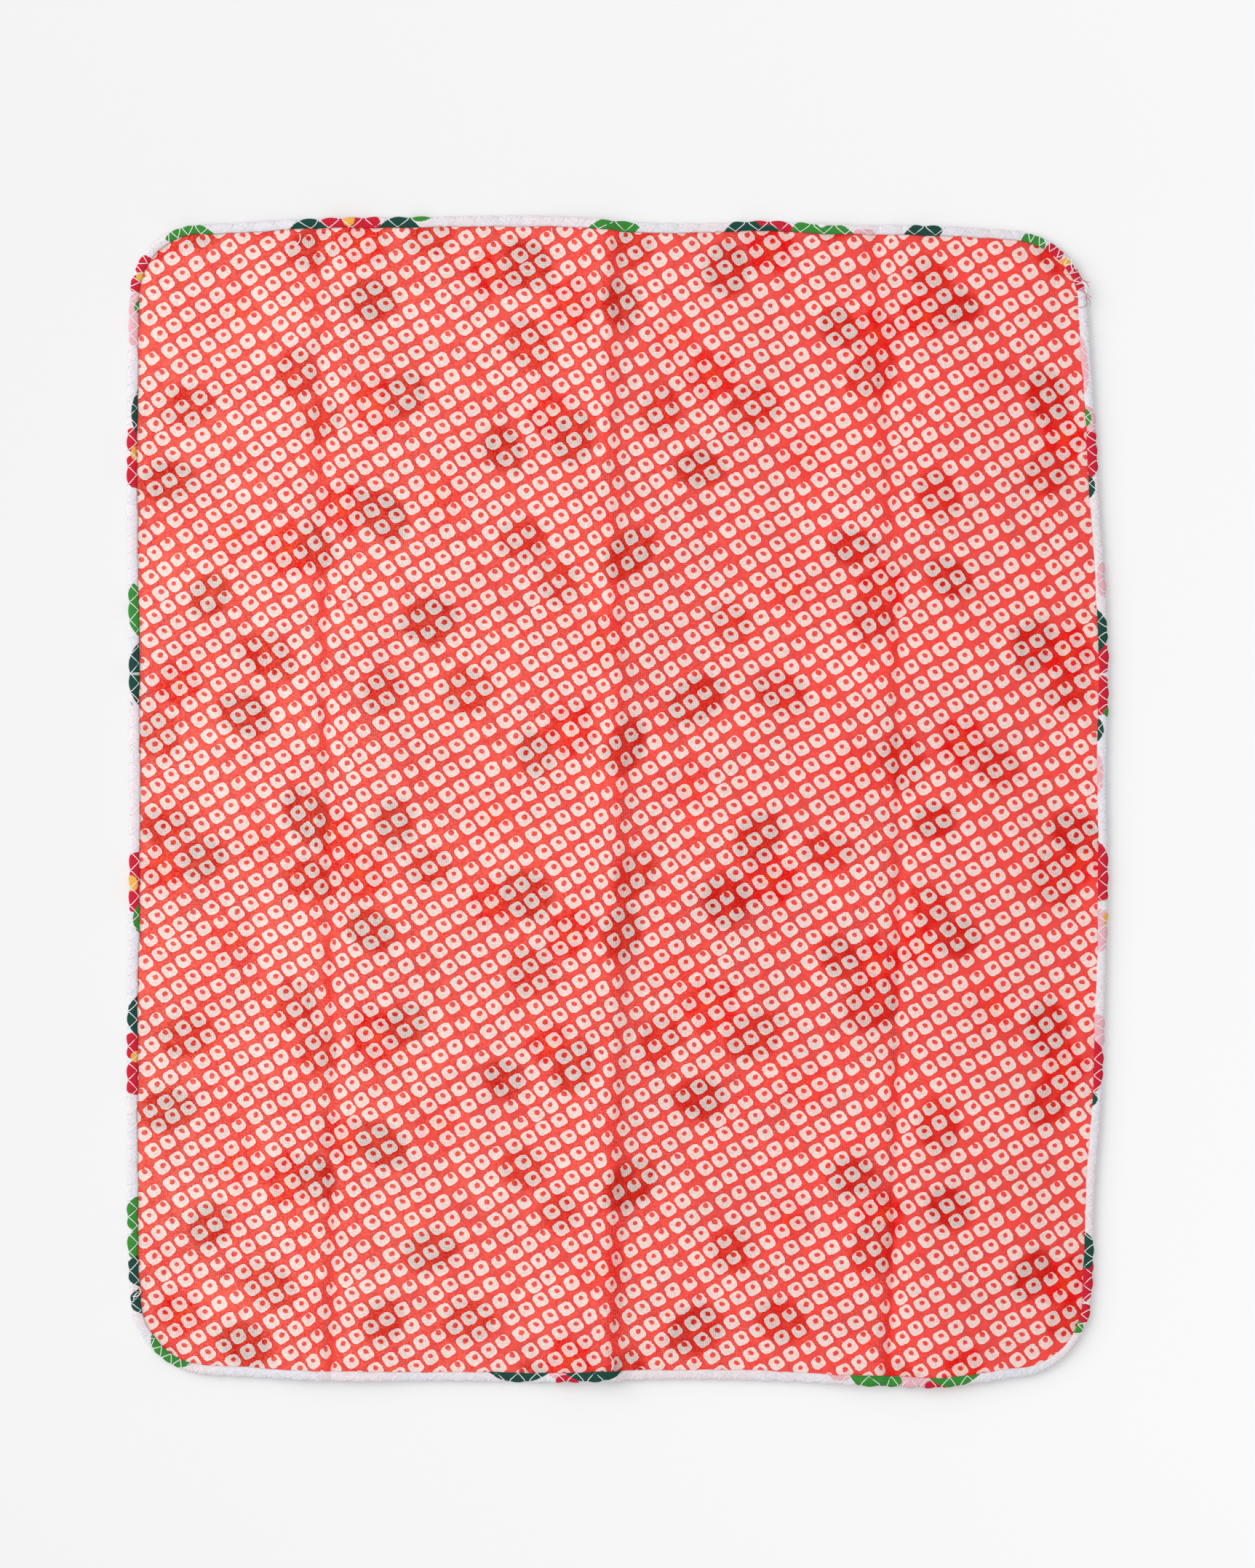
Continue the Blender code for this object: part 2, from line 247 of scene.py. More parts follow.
@dataclass(frozen=True)
class PressedFolds:
    """The shape that both sheets share: outline, uneven edges and pressed folds."""

    half_width: float = 125.0
    half_length: float = 149.0
    corner_radius: float = 18.0
    left_fold: float = -75.0
    middle_fold: float = -1.0
    right_fold: float = 69.5
    upper_fold: float = 50.0
    lower_fold: float = -50.0
    fold_rounding: float = 0.6
    notch_power: float = 2.5
    slope_step: float = 0.8
    settled: float = 0.1
    foot: float = 0.3
    relief_fade: float = 9.0
    outline_inset: float = 0.5
    outline_rise: float = 1.8
    outline_points: int = 1600

    @property
    def reach_across(self) -> float:
        """Distance from the middle to the corners' centres, across."""
        return self.half_width - self.corner_radius

    @property
    def reach_along(self) -> float:
        """Distance from the middle to the corners' centres, along."""
        return self.half_length - self.corner_radius

    @property
    def upright_folds(self) -> tuple[float, ...]:
        """Places across of the three folds that run along the cloth."""
        return self.left_fold, self.middle_fold, self.right_fold

    @property
    def edge_length(self) -> float:
        """Distance walked once round the edge."""
        return float(self.round_the_edge()[0][-1])

    def _height_along(self, heights: tuple[float, ...], along: Array) -> Array:
        """Return a fold's height at each place along it, from its five heights."""
        stations = (-self.half_length, self.lower_fold, 0.0, self.upper_fold, self.half_length)
        return through(table(Place, *zip(stations, heights)), along)

    def _fall(
        self, across: Array, line: float, reach: tuple[float, float],
        power: tuple[float, float],
    ) -> Array:
        """Return 1 at a fold's line, falling as a power of the distance to 0 at its reach.

        Args:
            across: flat places across.
            line: the fold's own place across.
            reach: how far it reaches to the left and to the right.
            power: how steeply it falls on the left and on the right.

        Returns:
            A share of the fold's height for each place.
        """
        away = across - line
        rounded = np.sqrt(away ** 2 + self.fold_rounding ** 2) - self.fold_rounding
        left = away < 0.0
        return np.clip(1.0 - rounded / np.where(left, *reach), 0.0, None) ** np.where(left, *power)

    def folds(self, across: Array, along: Array) -> Array:
        """Return the height of the main folds above the surface.

        Formula: the ridge and the notches fall off as a power of the distance from
        their line, swells and domes are bells, and the sum settles onto the surface
        with a soft foot.

        Args:
            across, along: flat places.

        Returns:
            The height at each place.
        """
        height = np.zeros_like(across)
        for row in RIDGES:
            fall = self._fall(across, row.line, row.reach, row.power)
            height += fall * self._height_along(row.heights, along)
        for row in SWELLS:
            away = across - row.line
            swell = bell(away / np.where(away < 0.0, *row.reach))
            height += swell * self._height_along(row.heights, along)
        for row in NOTCHES:
            fall = self._fall(across, row.line, row.reach, (self.notch_power,) * 2)
            height -= fall * self._height_along(row.heights, along)
        for row in DOMES:
            beside = bell((across - row.across) / row.reach_across)
            height += row.height * beside * bell((along - row.along) / row.reach_along)
        lifted = np.clip(height - self.settled, 0.0, None)
        return np.where(lifted < self.foot, 0.5 * lifted ** 2 / self.foot, lifted - 0.5 * self.foot)

    def relief(self, across: Array, along: Array) -> Array:
        """Return the fine creases and low ripples, which fade out near the edge.

        Formula: a crease is a bell on each axis, a ripple is a sine wave, and their sum
        is multiplied by the squared share of the way in from the edge.

        Args:
            across, along: flat places.

        Returns:
            The height at each place.
        """
        height = np.zeros_like(across)
        for crease in CREASES:
            over, beside = (along, across) if crease.upright else (across, along)
            middle = 0.5 * (crease.start + crease.end)
            window = bell((over - middle) / (0.5 * (crease.end - crease.start)))
            height += crease.height * window * bell((beside - crease.line) / crease.width)
        for ripple in RIPPLES:
            turn = np.radians(ripple.heading)
            travel = across * np.cos(turn) + along * np.sin(turn)
            height += ripple.height * np.sin(2.0 * np.pi * travel / ripple.length + ripple.phase)
        inside = np.minimum(self.half_width - np.abs(across), self.half_length - np.abs(along))
        return height * np.clip(inside / self.relief_fade, 0.0, 1.0) ** 2

    def height(self, across: Array, along: Array) -> Array:
        """Return the whole height: the main folds and the fine relief."""
        return self.folds(across, along) + self.relief(across, along)

    def pulled(self, across: Array, along: Array) -> Pair:
        """Move flat places to where the uneven edges and folds of the cloth lie.

        Args:
            across, along: flat places.

        Returns:
            The x and y of each place, shifted as the paths on both sides of it are.
        """
        knots_across = (
            -self.half_width, self.left_fold, self.middle_fold, self.right_fold, self.half_width)
        paths_across = (
            LEFT_EDGE, LEFT_FOLD_PATH, MIDDLE_FOLD_PATH, RIGHT_FOLD_PATH, RIGHT_EDGE)
        knots_along = (-self.half_length, self.lower_fold, self.upper_fold, self.half_length)
        paths_along = (BOTTOM_EDGE, LOWER_FOLD_PATH, UPPER_FOLD_PATH, TOP_EDGE)
        return (
            across + self._blended(knots_across, paths_across, across, along),
            along + self._blended(knots_along, paths_along, along, across),
        )

    @staticmethod
    def _blended(
        knots: tuple[float, ...], paths: tuple[tuple[Place, ...], ...],
        at: Array, along: Array,
    ) -> Array:
        """Return the shift at each place, straight between the paths beside it.

        Args:
            knots: where the paths lie on one axis.
            paths: the uneven edges and folds, in the same order.
            at: flat places on that axis.
            along: flat places on the other axis.

        Returns:
            The shift at each place.
        """
        shifts = np.stack([through(path, along) for path in paths])
        span = np.clip(np.searchsorted(knots, at) - 1, 0, len(knots) - 2)
        line = np.asarray(knots)
        part = np.clip((at - line[span]) / (line[span + 1] - line[span]), 0.0, 1.0)
        rows = np.arange(len(at))
        return shifts[span, rows] * (1.0 - part) + shifts[span + 1, rows] * part

    def flattened(self, x: Array, y: Array) -> Pair:
        """Return the flat places of points of the lying cloth, by going back three times.

        Args:
            x, y: places in the lying cloth.

        Returns:
            The flat places across and along.
        """
        across, along = x.copy(), y.copy()
        for _ in range(3):
            moved_x, moved_y = self.pulled(across, along)
            across, along = across + x - moved_x, along + y - moved_y
        return across, along

    def placed(self, across: Array, along: Array, rise: Array) -> Array:
        """Place points a rise above the underside, square to the folded cloth.

        Args:
            across, along: flat places.
            rise: distance of each point from the underside of the cloth.

        Returns:
            One row of x, y and z for each point.
        """
        height = self.height(across, along)
        step = self.slope_step
        slope_across = 0.5 / step * (
            self.height(across + step, along) - self.height(across - step, along))
        slope_along = 0.5 / step * (
            self.height(across, along + step) - self.height(across, along - step))
        steepness = np.sqrt(1.0 + slope_across ** 2 + slope_along ** 2)
        x, y = self.pulled(across, along)
        return np.column_stack((
            x - rise * slope_across / steepness,
            y - rise * slope_along / steepness,
            height + rise / steepness,
        ))

    def round_the_edge(self) -> tuple[Array, ...]:
        """Return the stops of a walk round the edge, counterclockwise from the bottom left.

        Returns:
            Distance walked, the corner centre's across and along, and the outward heading.
        """
        a, b = self.reach_across, self.reach_along
        arc = 0.5 * np.pi * self.corner_radius
        walked = np.cumsum([0.0, 2 * a, arc, 2 * b, arc, 2 * a, arc, 2 * b, arc])
        centre_across = np.array([-a, a, a, a, a, -a, -a, -a, -a])
        centre_along = np.array([-b, -b, -b, b, b, b, b, -b, -b])
        heading = np.radians([-90.0, -90.0, 0.0, 0.0, 90.0, 90.0, 180.0, 180.0, 270.0])
        return walked, centre_across, centre_along, heading

    def at_edge(self, walked: Array, inset: Array) -> Pair:
        """Return flat places at a distance walked round the edge and an inset from it.

        Formula: the corner's centre, plus the corner radius less the inset, times the
        outward direction. Along a straight side that centre walks beside it.

        Args:
            walked: distances walked round the edge.
            inset: distances inwards from the edge.

        Returns:
            The flat places across and along.
        """
        stops, centre_across, centre_along, heading = self.round_the_edge()
        walked = np.mod(walked, stops[-1])
        turn = np.interp(walked, stops, heading)
        radius = self.corner_radius - inset
        return (
            np.interp(walked, stops, centre_across) + radius * np.cos(turn),
            np.interp(walked, stops, centre_along) + radius * np.sin(turn),
        )

    def edge_place(self, across: Array, along: Array) -> Pair:
        """Return how far round the edge flat places lie, and how far out from its line.

        Formula: the nearest place inside the corners' centres gives the straight part
        of the walk, and the direction from it gives the share of the corners passed.

        Args:
            across, along: flat places.

        Returns:
            The distance walked to each place, and its distance outside the edge.
        """
        a, b = self.reach_across, self.reach_along
        near_across, near_along = np.clip(across, -a, a), np.clip(along, -b, b)
        heading = np.arctan2(along - near_along, across - near_across)
        quarter = np.mod(heading + 0.5 * np.pi, 2.0 * np.pi) / (0.5 * np.pi)
        straight = np.choose(np.floor(quarter + 1e-9).astype(int) % 4, (
            near_across + a, 2 * a + near_along + b, 2 * a + 2 * b + a - near_across,
            4 * a + 2 * b + b - near_along))
        away = np.hypot(across - near_across, along - near_along)
        inside = np.maximum(np.abs(across) - a, np.abs(along) - b)
        out = np.where(away > 0.0, away, inside) - self.corner_radius
        return straight + quarter * 0.5 * np.pi * self.corner_radius, out

    def middle(self) -> Array:
        """Return the centre of the outline, which stands over the origin.

        Formula: the middle of the box round the points of a walk near the edge.

        Returns:
            The centre's x and y, and 0 for its z.
        """
        walked = np.linspace(0.0, self.edge_length, self.outline_points)
        place = self.at_edge(walked, self.outline_inset)
        outline = self.placed(*place, np.full(walked.shape, self.outline_rise))
        centre = 0.5 * (outline.min(axis=0) + outline.max(axis=0))
        centre[2] = 0.0
        return centre


FOLDS = PressedFolds()
CENTRE = FOLDS.middle()


class Tone(Enum):
    """The inks of the floral print, each with the attribute that holds its shapes."""

    PINK = "print_pink"
    CRIMSON = "print_crimson"
    GREEN = "print_green"
    DARK = "print_dark"
    YELLOW = "print_yellow"
    LINE = "print_line"


# One repeat of the print, charted motif by motif. It comes again further along the cloth.
DARK_LEAVES = (
    (-63, 128), (-23, 137), (1, 127), (-54, 104), (-115, 82), (-60, 73), (-77, 65), (-104, 53),
    (-48, 46), (-95, 22), (-21, 12), (2, 14), (20, 26), (21, 85), (-29, 90), (-11, 93), (3, 63),
    (60, 65), (57, 121), (28, 136), (36, -9), (87, 126), (85, 57), (110, 103), (106, 40),
    (81, -5), (117, -8), (-79, -4), (-57, -6), (-106, -15),
)
GREEN_LEAVES = (
    (-78, -20), (-22, 117), (-82, 109), (-76, 97), (-110, 101), (-89, 37), (-117, 17),
    (-60, 28), (-38, 28), (42, 28), (29, 46), (11, 100), (35, 101), (-24, 67), (-15, 56),
    (65, 47), (65, 109), (54, -13), (80, 134), (82, 78), (110, 84), (115, 28), (97, 9),
    (73, 10), (4, -19), (-48, -17), (-115, -7), (112, -20),
)
CRIMSON_FLOWERS = (
    (-12, 127), (-62, 101), (-70, 75), (-112, 30), (-12, 18), (24, 109), (-17, 99), (68, 55),
    (66, 119), (39, -20), (78, 124), (114, 93), (115, 38), (88, 15), (119, -15), (-73, -8),
    (-66, -18), (-116, -17), (-32, 135), (-84, 64),
)
PINK_FLOWERS = (
    (-98, 125), (-45, 78), (48, 88), (-98, 68), (-4, 41), (62, 8), (-32, -4), (18, 4),
    (96, 108), (-92, -10), (44, 54), (14, 118),
)


class Side(Enum):
    """The sides of the hem: the order of the walk, the way it runs, and which side it is."""

    BOTTOM = (0, 1, -1)
    RIGHT = (1, 1, 1)
    TOP = (2, -1, 1)
    LEFT = (3, -1, -1)


class HemCut(Enum):
    """Where the turned edge cuts a motif: its middle's place past the fold, and half depth."""

    DOME = (3.9, 3.3)
    WIDE = (2.9, 2.8)
    HEART = (1.0, 1.6)
    RIM = (0.6, 1.15)
    FOOT = (3.6, 2.0)


class HemShape(NamedTuple):
    """A motif on the hem, from where to where along its side, and how far it leans out."""

    side: Side
    start: float
    end: float
    tone: Tone
    lean: float = 0.0
    cut: HemCut = HemCut.WIDE


def hem_shapes(side: Side, *rows: tuple) -> tuple[HemShape, ...]:
    """Return the rows as shapes of one side."""
    return table(HemShape, *((side, *row) for row in rows))


# Places along a side are counted from the cloth's middle, and run on round its corners.
HEM_SHAPES = (
    *hem_shapes(
        Side.TOP,
        (-116.7, -102.5, Tone.GREEN, 8.0), (-84.0, -73.5, Tone.DARK, 0.0, HemCut.DOME),
        (-76.0, -68.8, Tone.CRIMSON, -8.0), (-68.4, -60.5, Tone.CRIMSON, -6.0),
        (-70.0, -67.2, Tone.YELLOW, 0.0, HemCut.HEART), (-61.5, -50.0, Tone.DARK, 0.0, HemCut.DOME),
        (-53.5, -48.0, Tone.GREEN, 0.0, HemCut.RIM), (-8.0, 5.5, Tone.GREEN, -10.0),
        (27.0, 36.6, Tone.DARK, -10.0), (35.5, 41.5, Tone.DARK, 0.0, HemCut.FOOT),
        (33.5, 45.0, Tone.CRIMSON, 4.0), (44.5, 53.0, Tone.GREEN, 6.0),
        (50.5, 60.5, Tone.GREEN, -4.0, HemCut.DOME), (60.0, 65.5, Tone.PINK, 0.0, HemCut.FOOT),
        (72.5, 83.0, Tone.DARK, -14.0), (103.0, 110.5, Tone.GREEN, -6.0),
        (110.6, 116.1, Tone.CRIMSON, 4.0), (116.3, 118.6, Tone.YELLOW, 10.0),
        (118.7, 126.9, Tone.CRIMSON),
    ),
    *hem_shapes(
        Side.RIGHT,
        (-137.4, -133.4, Tone.GREEN), (-134.0, -128.3, Tone.CRIMSON, 4.0),
        (-127.8, -117.0, Tone.CRIMSON, -4.0), (-119.5, -109.5, Tone.DARK, 10.0),
        (-78.0, -74.0, Tone.DARK, 0.0, HemCut.FOOT), (-74.5, -61.0, Tone.CRIMSON, 0.0, HemCut.DOME),
        (-63.0, -54.5, Tone.PINK), (-38.5, -27.5, Tone.PINK),
        (-31.5, -28.5, Tone.YELLOW, 0.0, HemCut.RIM), (-25.5, -10.5, Tone.CRIMSON, 6.0),
        (2.0, 12.0, Tone.PINK, 0.0, HemCut.FOOT), (15.0, 21.5, Tone.DARK, 0.0, HemCut.FOOT),
        (21.5, 24.0, Tone.GREEN, 0.0, HemCut.RIM), (22.0, 32.2, Tone.CRIMSON),
        (32.6, 41.0, Tone.CRIMSON, 4.0), (38.0, 50.0, Tone.DARK, 6.0, HemCut.DOME),
        (52.0, 61.0, Tone.PINK, 0.0, HemCut.HEART), (77.5, 84.0, Tone.DARK, 8.0, HemCut.FOOT),
        (82.5, 94.5, Tone.CRIMSON, -6.0), (91.0, 101.0, Tone.PINK, 4.0),
        (95.5, 100.5, Tone.GREEN, 0.0, HemCut.FOOT), (104.0, 119.0, Tone.PINK, 0.0, HemCut.FOOT),
    ),
    *hem_shapes(
        Side.BOTTOM,
        (-123.0, -109.5, Tone.GREEN), (-33.0, -16.0, Tone.DARK, 3.0, HemCut.DOME),
        (-15.5, -9.5, Tone.CRIMSON, 0.0, HemCut.HEART), (-17.5, -10.5, Tone.PINK, 0.0, HemCut.FOOT),
        (-13.0, 2.0, Tone.DARK, 5.0, HemCut.DOME), (54.0, 60.0, Tone.PINK, 0.0, HemCut.FOOT),
        (59.5, 67.0, Tone.GREEN, -8.0), (62.5, 73.0, Tone.GREEN, -12.0), (70.0, 80.0, Tone.PINK),
        (78.5, 84.0, Tone.CRIMSON, 0.0, HemCut.HEART), (79.5, 93.5, Tone.GREEN, 4.0, HemCut.DOME),
    ),
    *hem_shapes(
        Side.LEFT,
        (-131.5, -124.3, Tone.DARK, 0.0, HemCut.DOME), (-124.0, -116.0, Tone.DARK),
        (-117.5, -109.8, Tone.GREEN, -3.0), (-110.3, -101.0, Tone.GREEN),
        (-75.0, -66.3, Tone.CRIMSON, 4.0), (-66.0, -59.0, Tone.CRIMSON, -6.0),
        (-66.8, -63.8, Tone.YELLOW, 0.0, HemCut.FOOT), (-60.5, -49.5, Tone.DARK, -3.0, HemCut.DOME),
        (-34.0, -26.0, Tone.GREEN, 0.0, HemCut.FOOT), (-28.5, -20.8, Tone.CRIMSON, 8.0),
        (-20.5, -13.0, Tone.CRIMSON, -6.0), (-23.0, -19.0, Tone.YELLOW, -14.0, HemCut.HEART),
        (25.0, 40.0, Tone.DARK), (32.1, 32.9, Tone.LINE), (41.5, 55.5, Tone.GREEN, -8.0),
        (80.0, 88.5, Tone.CRIMSON, -3.0), (88.8, 95.5, Tone.CRIMSON, -8.0),
        (87.0, 90.8, Tone.YELLOW, 0.0, HemCut.FOOT), (93.5, 105.0, Tone.DARK, 0.0, HemCut.FOOT),
        (116.0, 130.0, Tone.PINK), (124.5, 128.0, Tone.GREEN, 0.0, HemCut.FOOT),
        (130.0, 135.0, Tone.CRIMSON, 4.0), (135.7, 141.2, Tone.CRIMSON),
        (133.3, 136.4, Tone.YELLOW, 0.0, HemCut.FOOT),
    ),
)


@dataclass(frozen=True)
class FloralPrint:
    """The print of the back cloth: leaves and open flowers, and the cut ones on the hem."""

    repeat: float = 161.0
    copies: tuple[int, ...] = (-1, 0, 1)
    leaf_long: float = 6.5
    leaf_wide: float = 4.8
    leaf_tip: float = 0.8
    rib: float = 0.22
    rib_bend: float = 0.012
    petals: int = 5
    flower: float = 6.4
    scallop: float = 0.13
    gap: float = 0.24
    heart: float = 1.5
    stamens: int = 13
    growth: float = 0.12
    turn: float = 2.39996
    edge_free: float = 0.2
    hem_reach: float = 9.0
    roundness: float = 2.6
    outside: float = 30.0
    rib_share: float = 0.85
    gap_share: float = 0.95
    slim: float = 0.9
    heart_wave: float = 0.3
    growth_step: float = 1.7

    def _motifs(self, chart: tuple[tuple[int, int], ...]) -> Array:
        """Return the flat place, turn and growth of each motif of a chart, with its copies.

        Formula: copies lie whole repeats apart, and each motif is turned by a further
        golden angle and grown by a small wave.

        Args:
            chart: where the middles of the motifs of one repeat lie in the lying cloth.

        Returns:
            One row for each motif near the cloth: across, along, turn and growth.
        """
        rows = np.array([(x, y + self.repeat * copy) for copy in self.copies for x, y in chart])
        across, along = FOLDS.flattened(rows[:, 0], rows[:, 1])
        number = np.tile(np.arange(len(chart)), len(self.copies))
        motifs = np.column_stack((
            across, along, number * self.turn, 1.0 + self.growth * np.sin(number * self.growth_step)))
        return motifs[np.abs(motifs[:, 1]) < FOLDS.half_length + self.flower]

    def _leaf(self, axis: Array, beside: Array, long: float, wide: float) -> Array:
        """Return the distance outside a leaf: the overlap of two equal circles, tips rounded.

        Args:
            axis, beside: places along and across the leaf, from its middle.
            long, wide: half its length and half its width.

        Returns:
            The distance at each place, negative inside the leaf.
        """
        a, b = long - self.leaf_tip, wide - self.leaf_tip
        radius = (a * a + b * b) / (2.0 * b)
        return np.hypot(axis, np.abs(beside) + radius - b) - radius - self.leaf_tip

    def _leaf_inks(self, tone: Tone, axis: Array, beside: Array, grown: float) -> dict[Tone, Array]:
        """Draw a leaf and its midrib, a bent strip.

        Args:
            tone: the leaf's ink.
            axis, beside: places along and across the leaf, from its middle.
            grown: how many times larger it is.

        Returns:
            The distance outside each ink's shape.
        """
        long, wide = self.leaf_long * grown, self.leaf_wide * grown
        strip = np.abs(beside - self.rib_bend * axis ** 2) - self.rib
        rib = np.maximum(strip, np.abs(axis) - self.rib_share * long)
        return {tone: self._leaf(axis, beside, long, wide), Tone.LINE: rib}

    def _flower_inks(self, tone: Tone, axis: Array, beside: Array, grown: float) -> dict[Tone, Array]:
        """Draw a flower, its pale gaps and its heart.

        Formula: the outline's radius swells once for each petal. Gaps run out from the
        heart between the petals, and the heart's own radius swells once for each stamen.

        Args:
            tone: the petals' ink.
            axis, beside: places along and across the flower, from its middle.
            grown: how many times larger it is.

        Returns:
            The distance outside each ink's shape.
        """
        radius, angle = np.hypot(axis, beside), np.arctan2(beside, axis)
        size = self.flower * grown
        outline = size * (1.0 - self.scallop + self.scallop * np.cos(self.petals * angle))
        share = self.petals * angle / (2.0 * np.pi) + 0.5
        beside_gap = (share - np.round(share)) * 2.0 * np.pi / self.petals
        gap = np.abs(radius * np.sin(beside_gap)) - self.gap
        gap = np.maximum(gap, np.maximum(self.heart - radius, radius - self.gap_share * size))
        heart = radius - self.heart * (1.0 + self.heart_wave * np.cos(self.stamens * angle))
        return {tone: radius - outline, Tone.LINE: gap, Tone.YELLOW: heart}

    def _hem_rows(self) -> list[tuple[HemShape, float, float]]:
        """Place the hem's shapes on the walk round the edge.

        Formula: a reading on a straight side is moved to its flat place. Past the side's
        end it keeps the move of that end and walks on round the corner.

        Returns:
            Each shape with the walked places of its start and end.
        """
        stops = FOLDS.round_the_edge()[0]
        rows = []
        for shape in HEM_SHAPES:
            number, way, beyond = shape.side.value
            level = shape.side in (Side.TOP, Side.BOTTOM)
            reach = FOLDS.reach_across if level else FOLDS.reach_along
            read = np.array([shape.start, shape.end])
            held = np.clip(read, -reach, reach)
            rest = np.full(2, beyond * (FOLDS.half_length if level else FOLDS.half_width))
            flat = FOLDS.flattened(held, rest)[0] if level else FOLDS.flattened(rest, held)[1]
            middle = 0.5 * (stops[2 * number] + stops[2 * number + 1])
            start, end = middle + way * (read + flat - held)
            rows.append((shape, start, end))
        return rows

    def _lay_hem(self, found: dict[Tone, Array], across: Array, along: Array) -> None:
        """Lay the hem's own shapes along the walk round the edge, outwards from the fold.

        Formula: a leaf is cut as a leaf, and any other shape is a rounded square whose
        powers of both distances add up to one at its outline.

        Args:
            found: the distances for each ink, which are changed.
            across, along: flat places.
        """
        walked, out = FOLDS.edge_place(across, along)
        length = FOLDS.edge_length
        near = out > -self.hem_reach
        walked, out = walked[near], out[near]
        for shape, start, end in self._hem_rows():
            middle, depth = shape.cut.value
            half, way = 0.5 * abs(end - start), shape.side.value[1]
            step = np.mod(walked - 0.5 * (start + end) + 0.5 * length, length) - 0.5 * length
            lean = np.radians(shape.lean) * way
            axis = step * np.cos(lean) + (out - middle) * np.sin(lean)
            beside = (out - middle) * np.cos(lean) - step * np.sin(lean)
            if shape.tone in (Tone.GREEN, Tone.DARK):
                away = self._leaf(axis, beside, half, min(depth, self.slim * half))
            else:
                powers = np.abs(np.stack((axis / half, beside / depth))) ** self.roundness
                away = (powers.sum(axis=0) ** (1.0 / self.roundness) - 1.0) * min(half, depth)
            found[shape.tone][near] = np.minimum(found[shape.tone][near], away)

    def inks(self, across: Array, along: Array) -> dict[Tone, Array]:
        """Return, for each ink, every point's distance outside its nearest shape.

        Args:
            across, along: flat places.

        Returns:
            One array for each ink, negative inside the printed shapes.
        """
        found = {tone: np.full(across.shape, self.outside) for tone in Tone}
        charts = (
            (DARK_LEAVES, Tone.DARK, self._leaf_inks), (GREEN_LEAVES, Tone.GREEN, self._leaf_inks),
            (CRIMSON_FLOWERS, Tone.CRIMSON, self._flower_inks),
            (PINK_FLOWERS, Tone.PINK, self._flower_inks),
        )
        for chart, tone, draw in charts:
            for middle_across, middle_along, turn, grown in self._motifs(chart):
                du, dv = across - middle_across, along - middle_along
                axis = du * np.cos(turn) + dv * np.sin(turn)
                beside = dv * np.cos(turn) - du * np.sin(turn)
                for ink, away in draw(tone, axis, beside, grown).items():
                    found[ink] = np.minimum(found[ink], away)
        kept_free = self.edge_free + FOLDS.edge_place(across, along)[1]
        for tone in Tone:
            found[tone] = np.maximum(found[tone], kept_free)
        self._lay_hem(found, across, along)
        return found


PRINT = FloralPrint()


class Term:
    """A number in a material, which adds a Math node for each step worked out with it."""

    def __init__(self, graph: "Graph", socket: Socket) -> None:
        """Keep the graph and the socket that carries the number."""
        self.graph = graph
        self.socket = socket

    def step(self, operation: str, *others: "Term | float") -> "Term":
        """Return the result of one Math node that starts with this number."""
        return self.graph.maths(operation, self, *others)

    def __add__(self, other: "Term | float") -> "Term":
        """Return the sum."""
        return self.step("ADD", other)

    def __sub__(self, other: "Term | float") -> "Term":
        """Return the difference."""
        return self.step("SUBTRACT", other)

    def __rsub__(self, other: float) -> "Term":
        """Return the other number less this one."""
        return self.graph.maths("SUBTRACT", other, self)

    def __mul__(self, other: "Term | float") -> "Term":
        """Return the product."""
        return self.step("MULTIPLY", other)

    def __truediv__(self, other: "Term | float") -> "Term":
        """Return the quotient."""
        return self.step("DIVIDE", other)

    def __rtruediv__(self, other: float) -> "Term":
        """Return the other number divided by this one."""
        return self.graph.maths("DIVIDE", other, self)


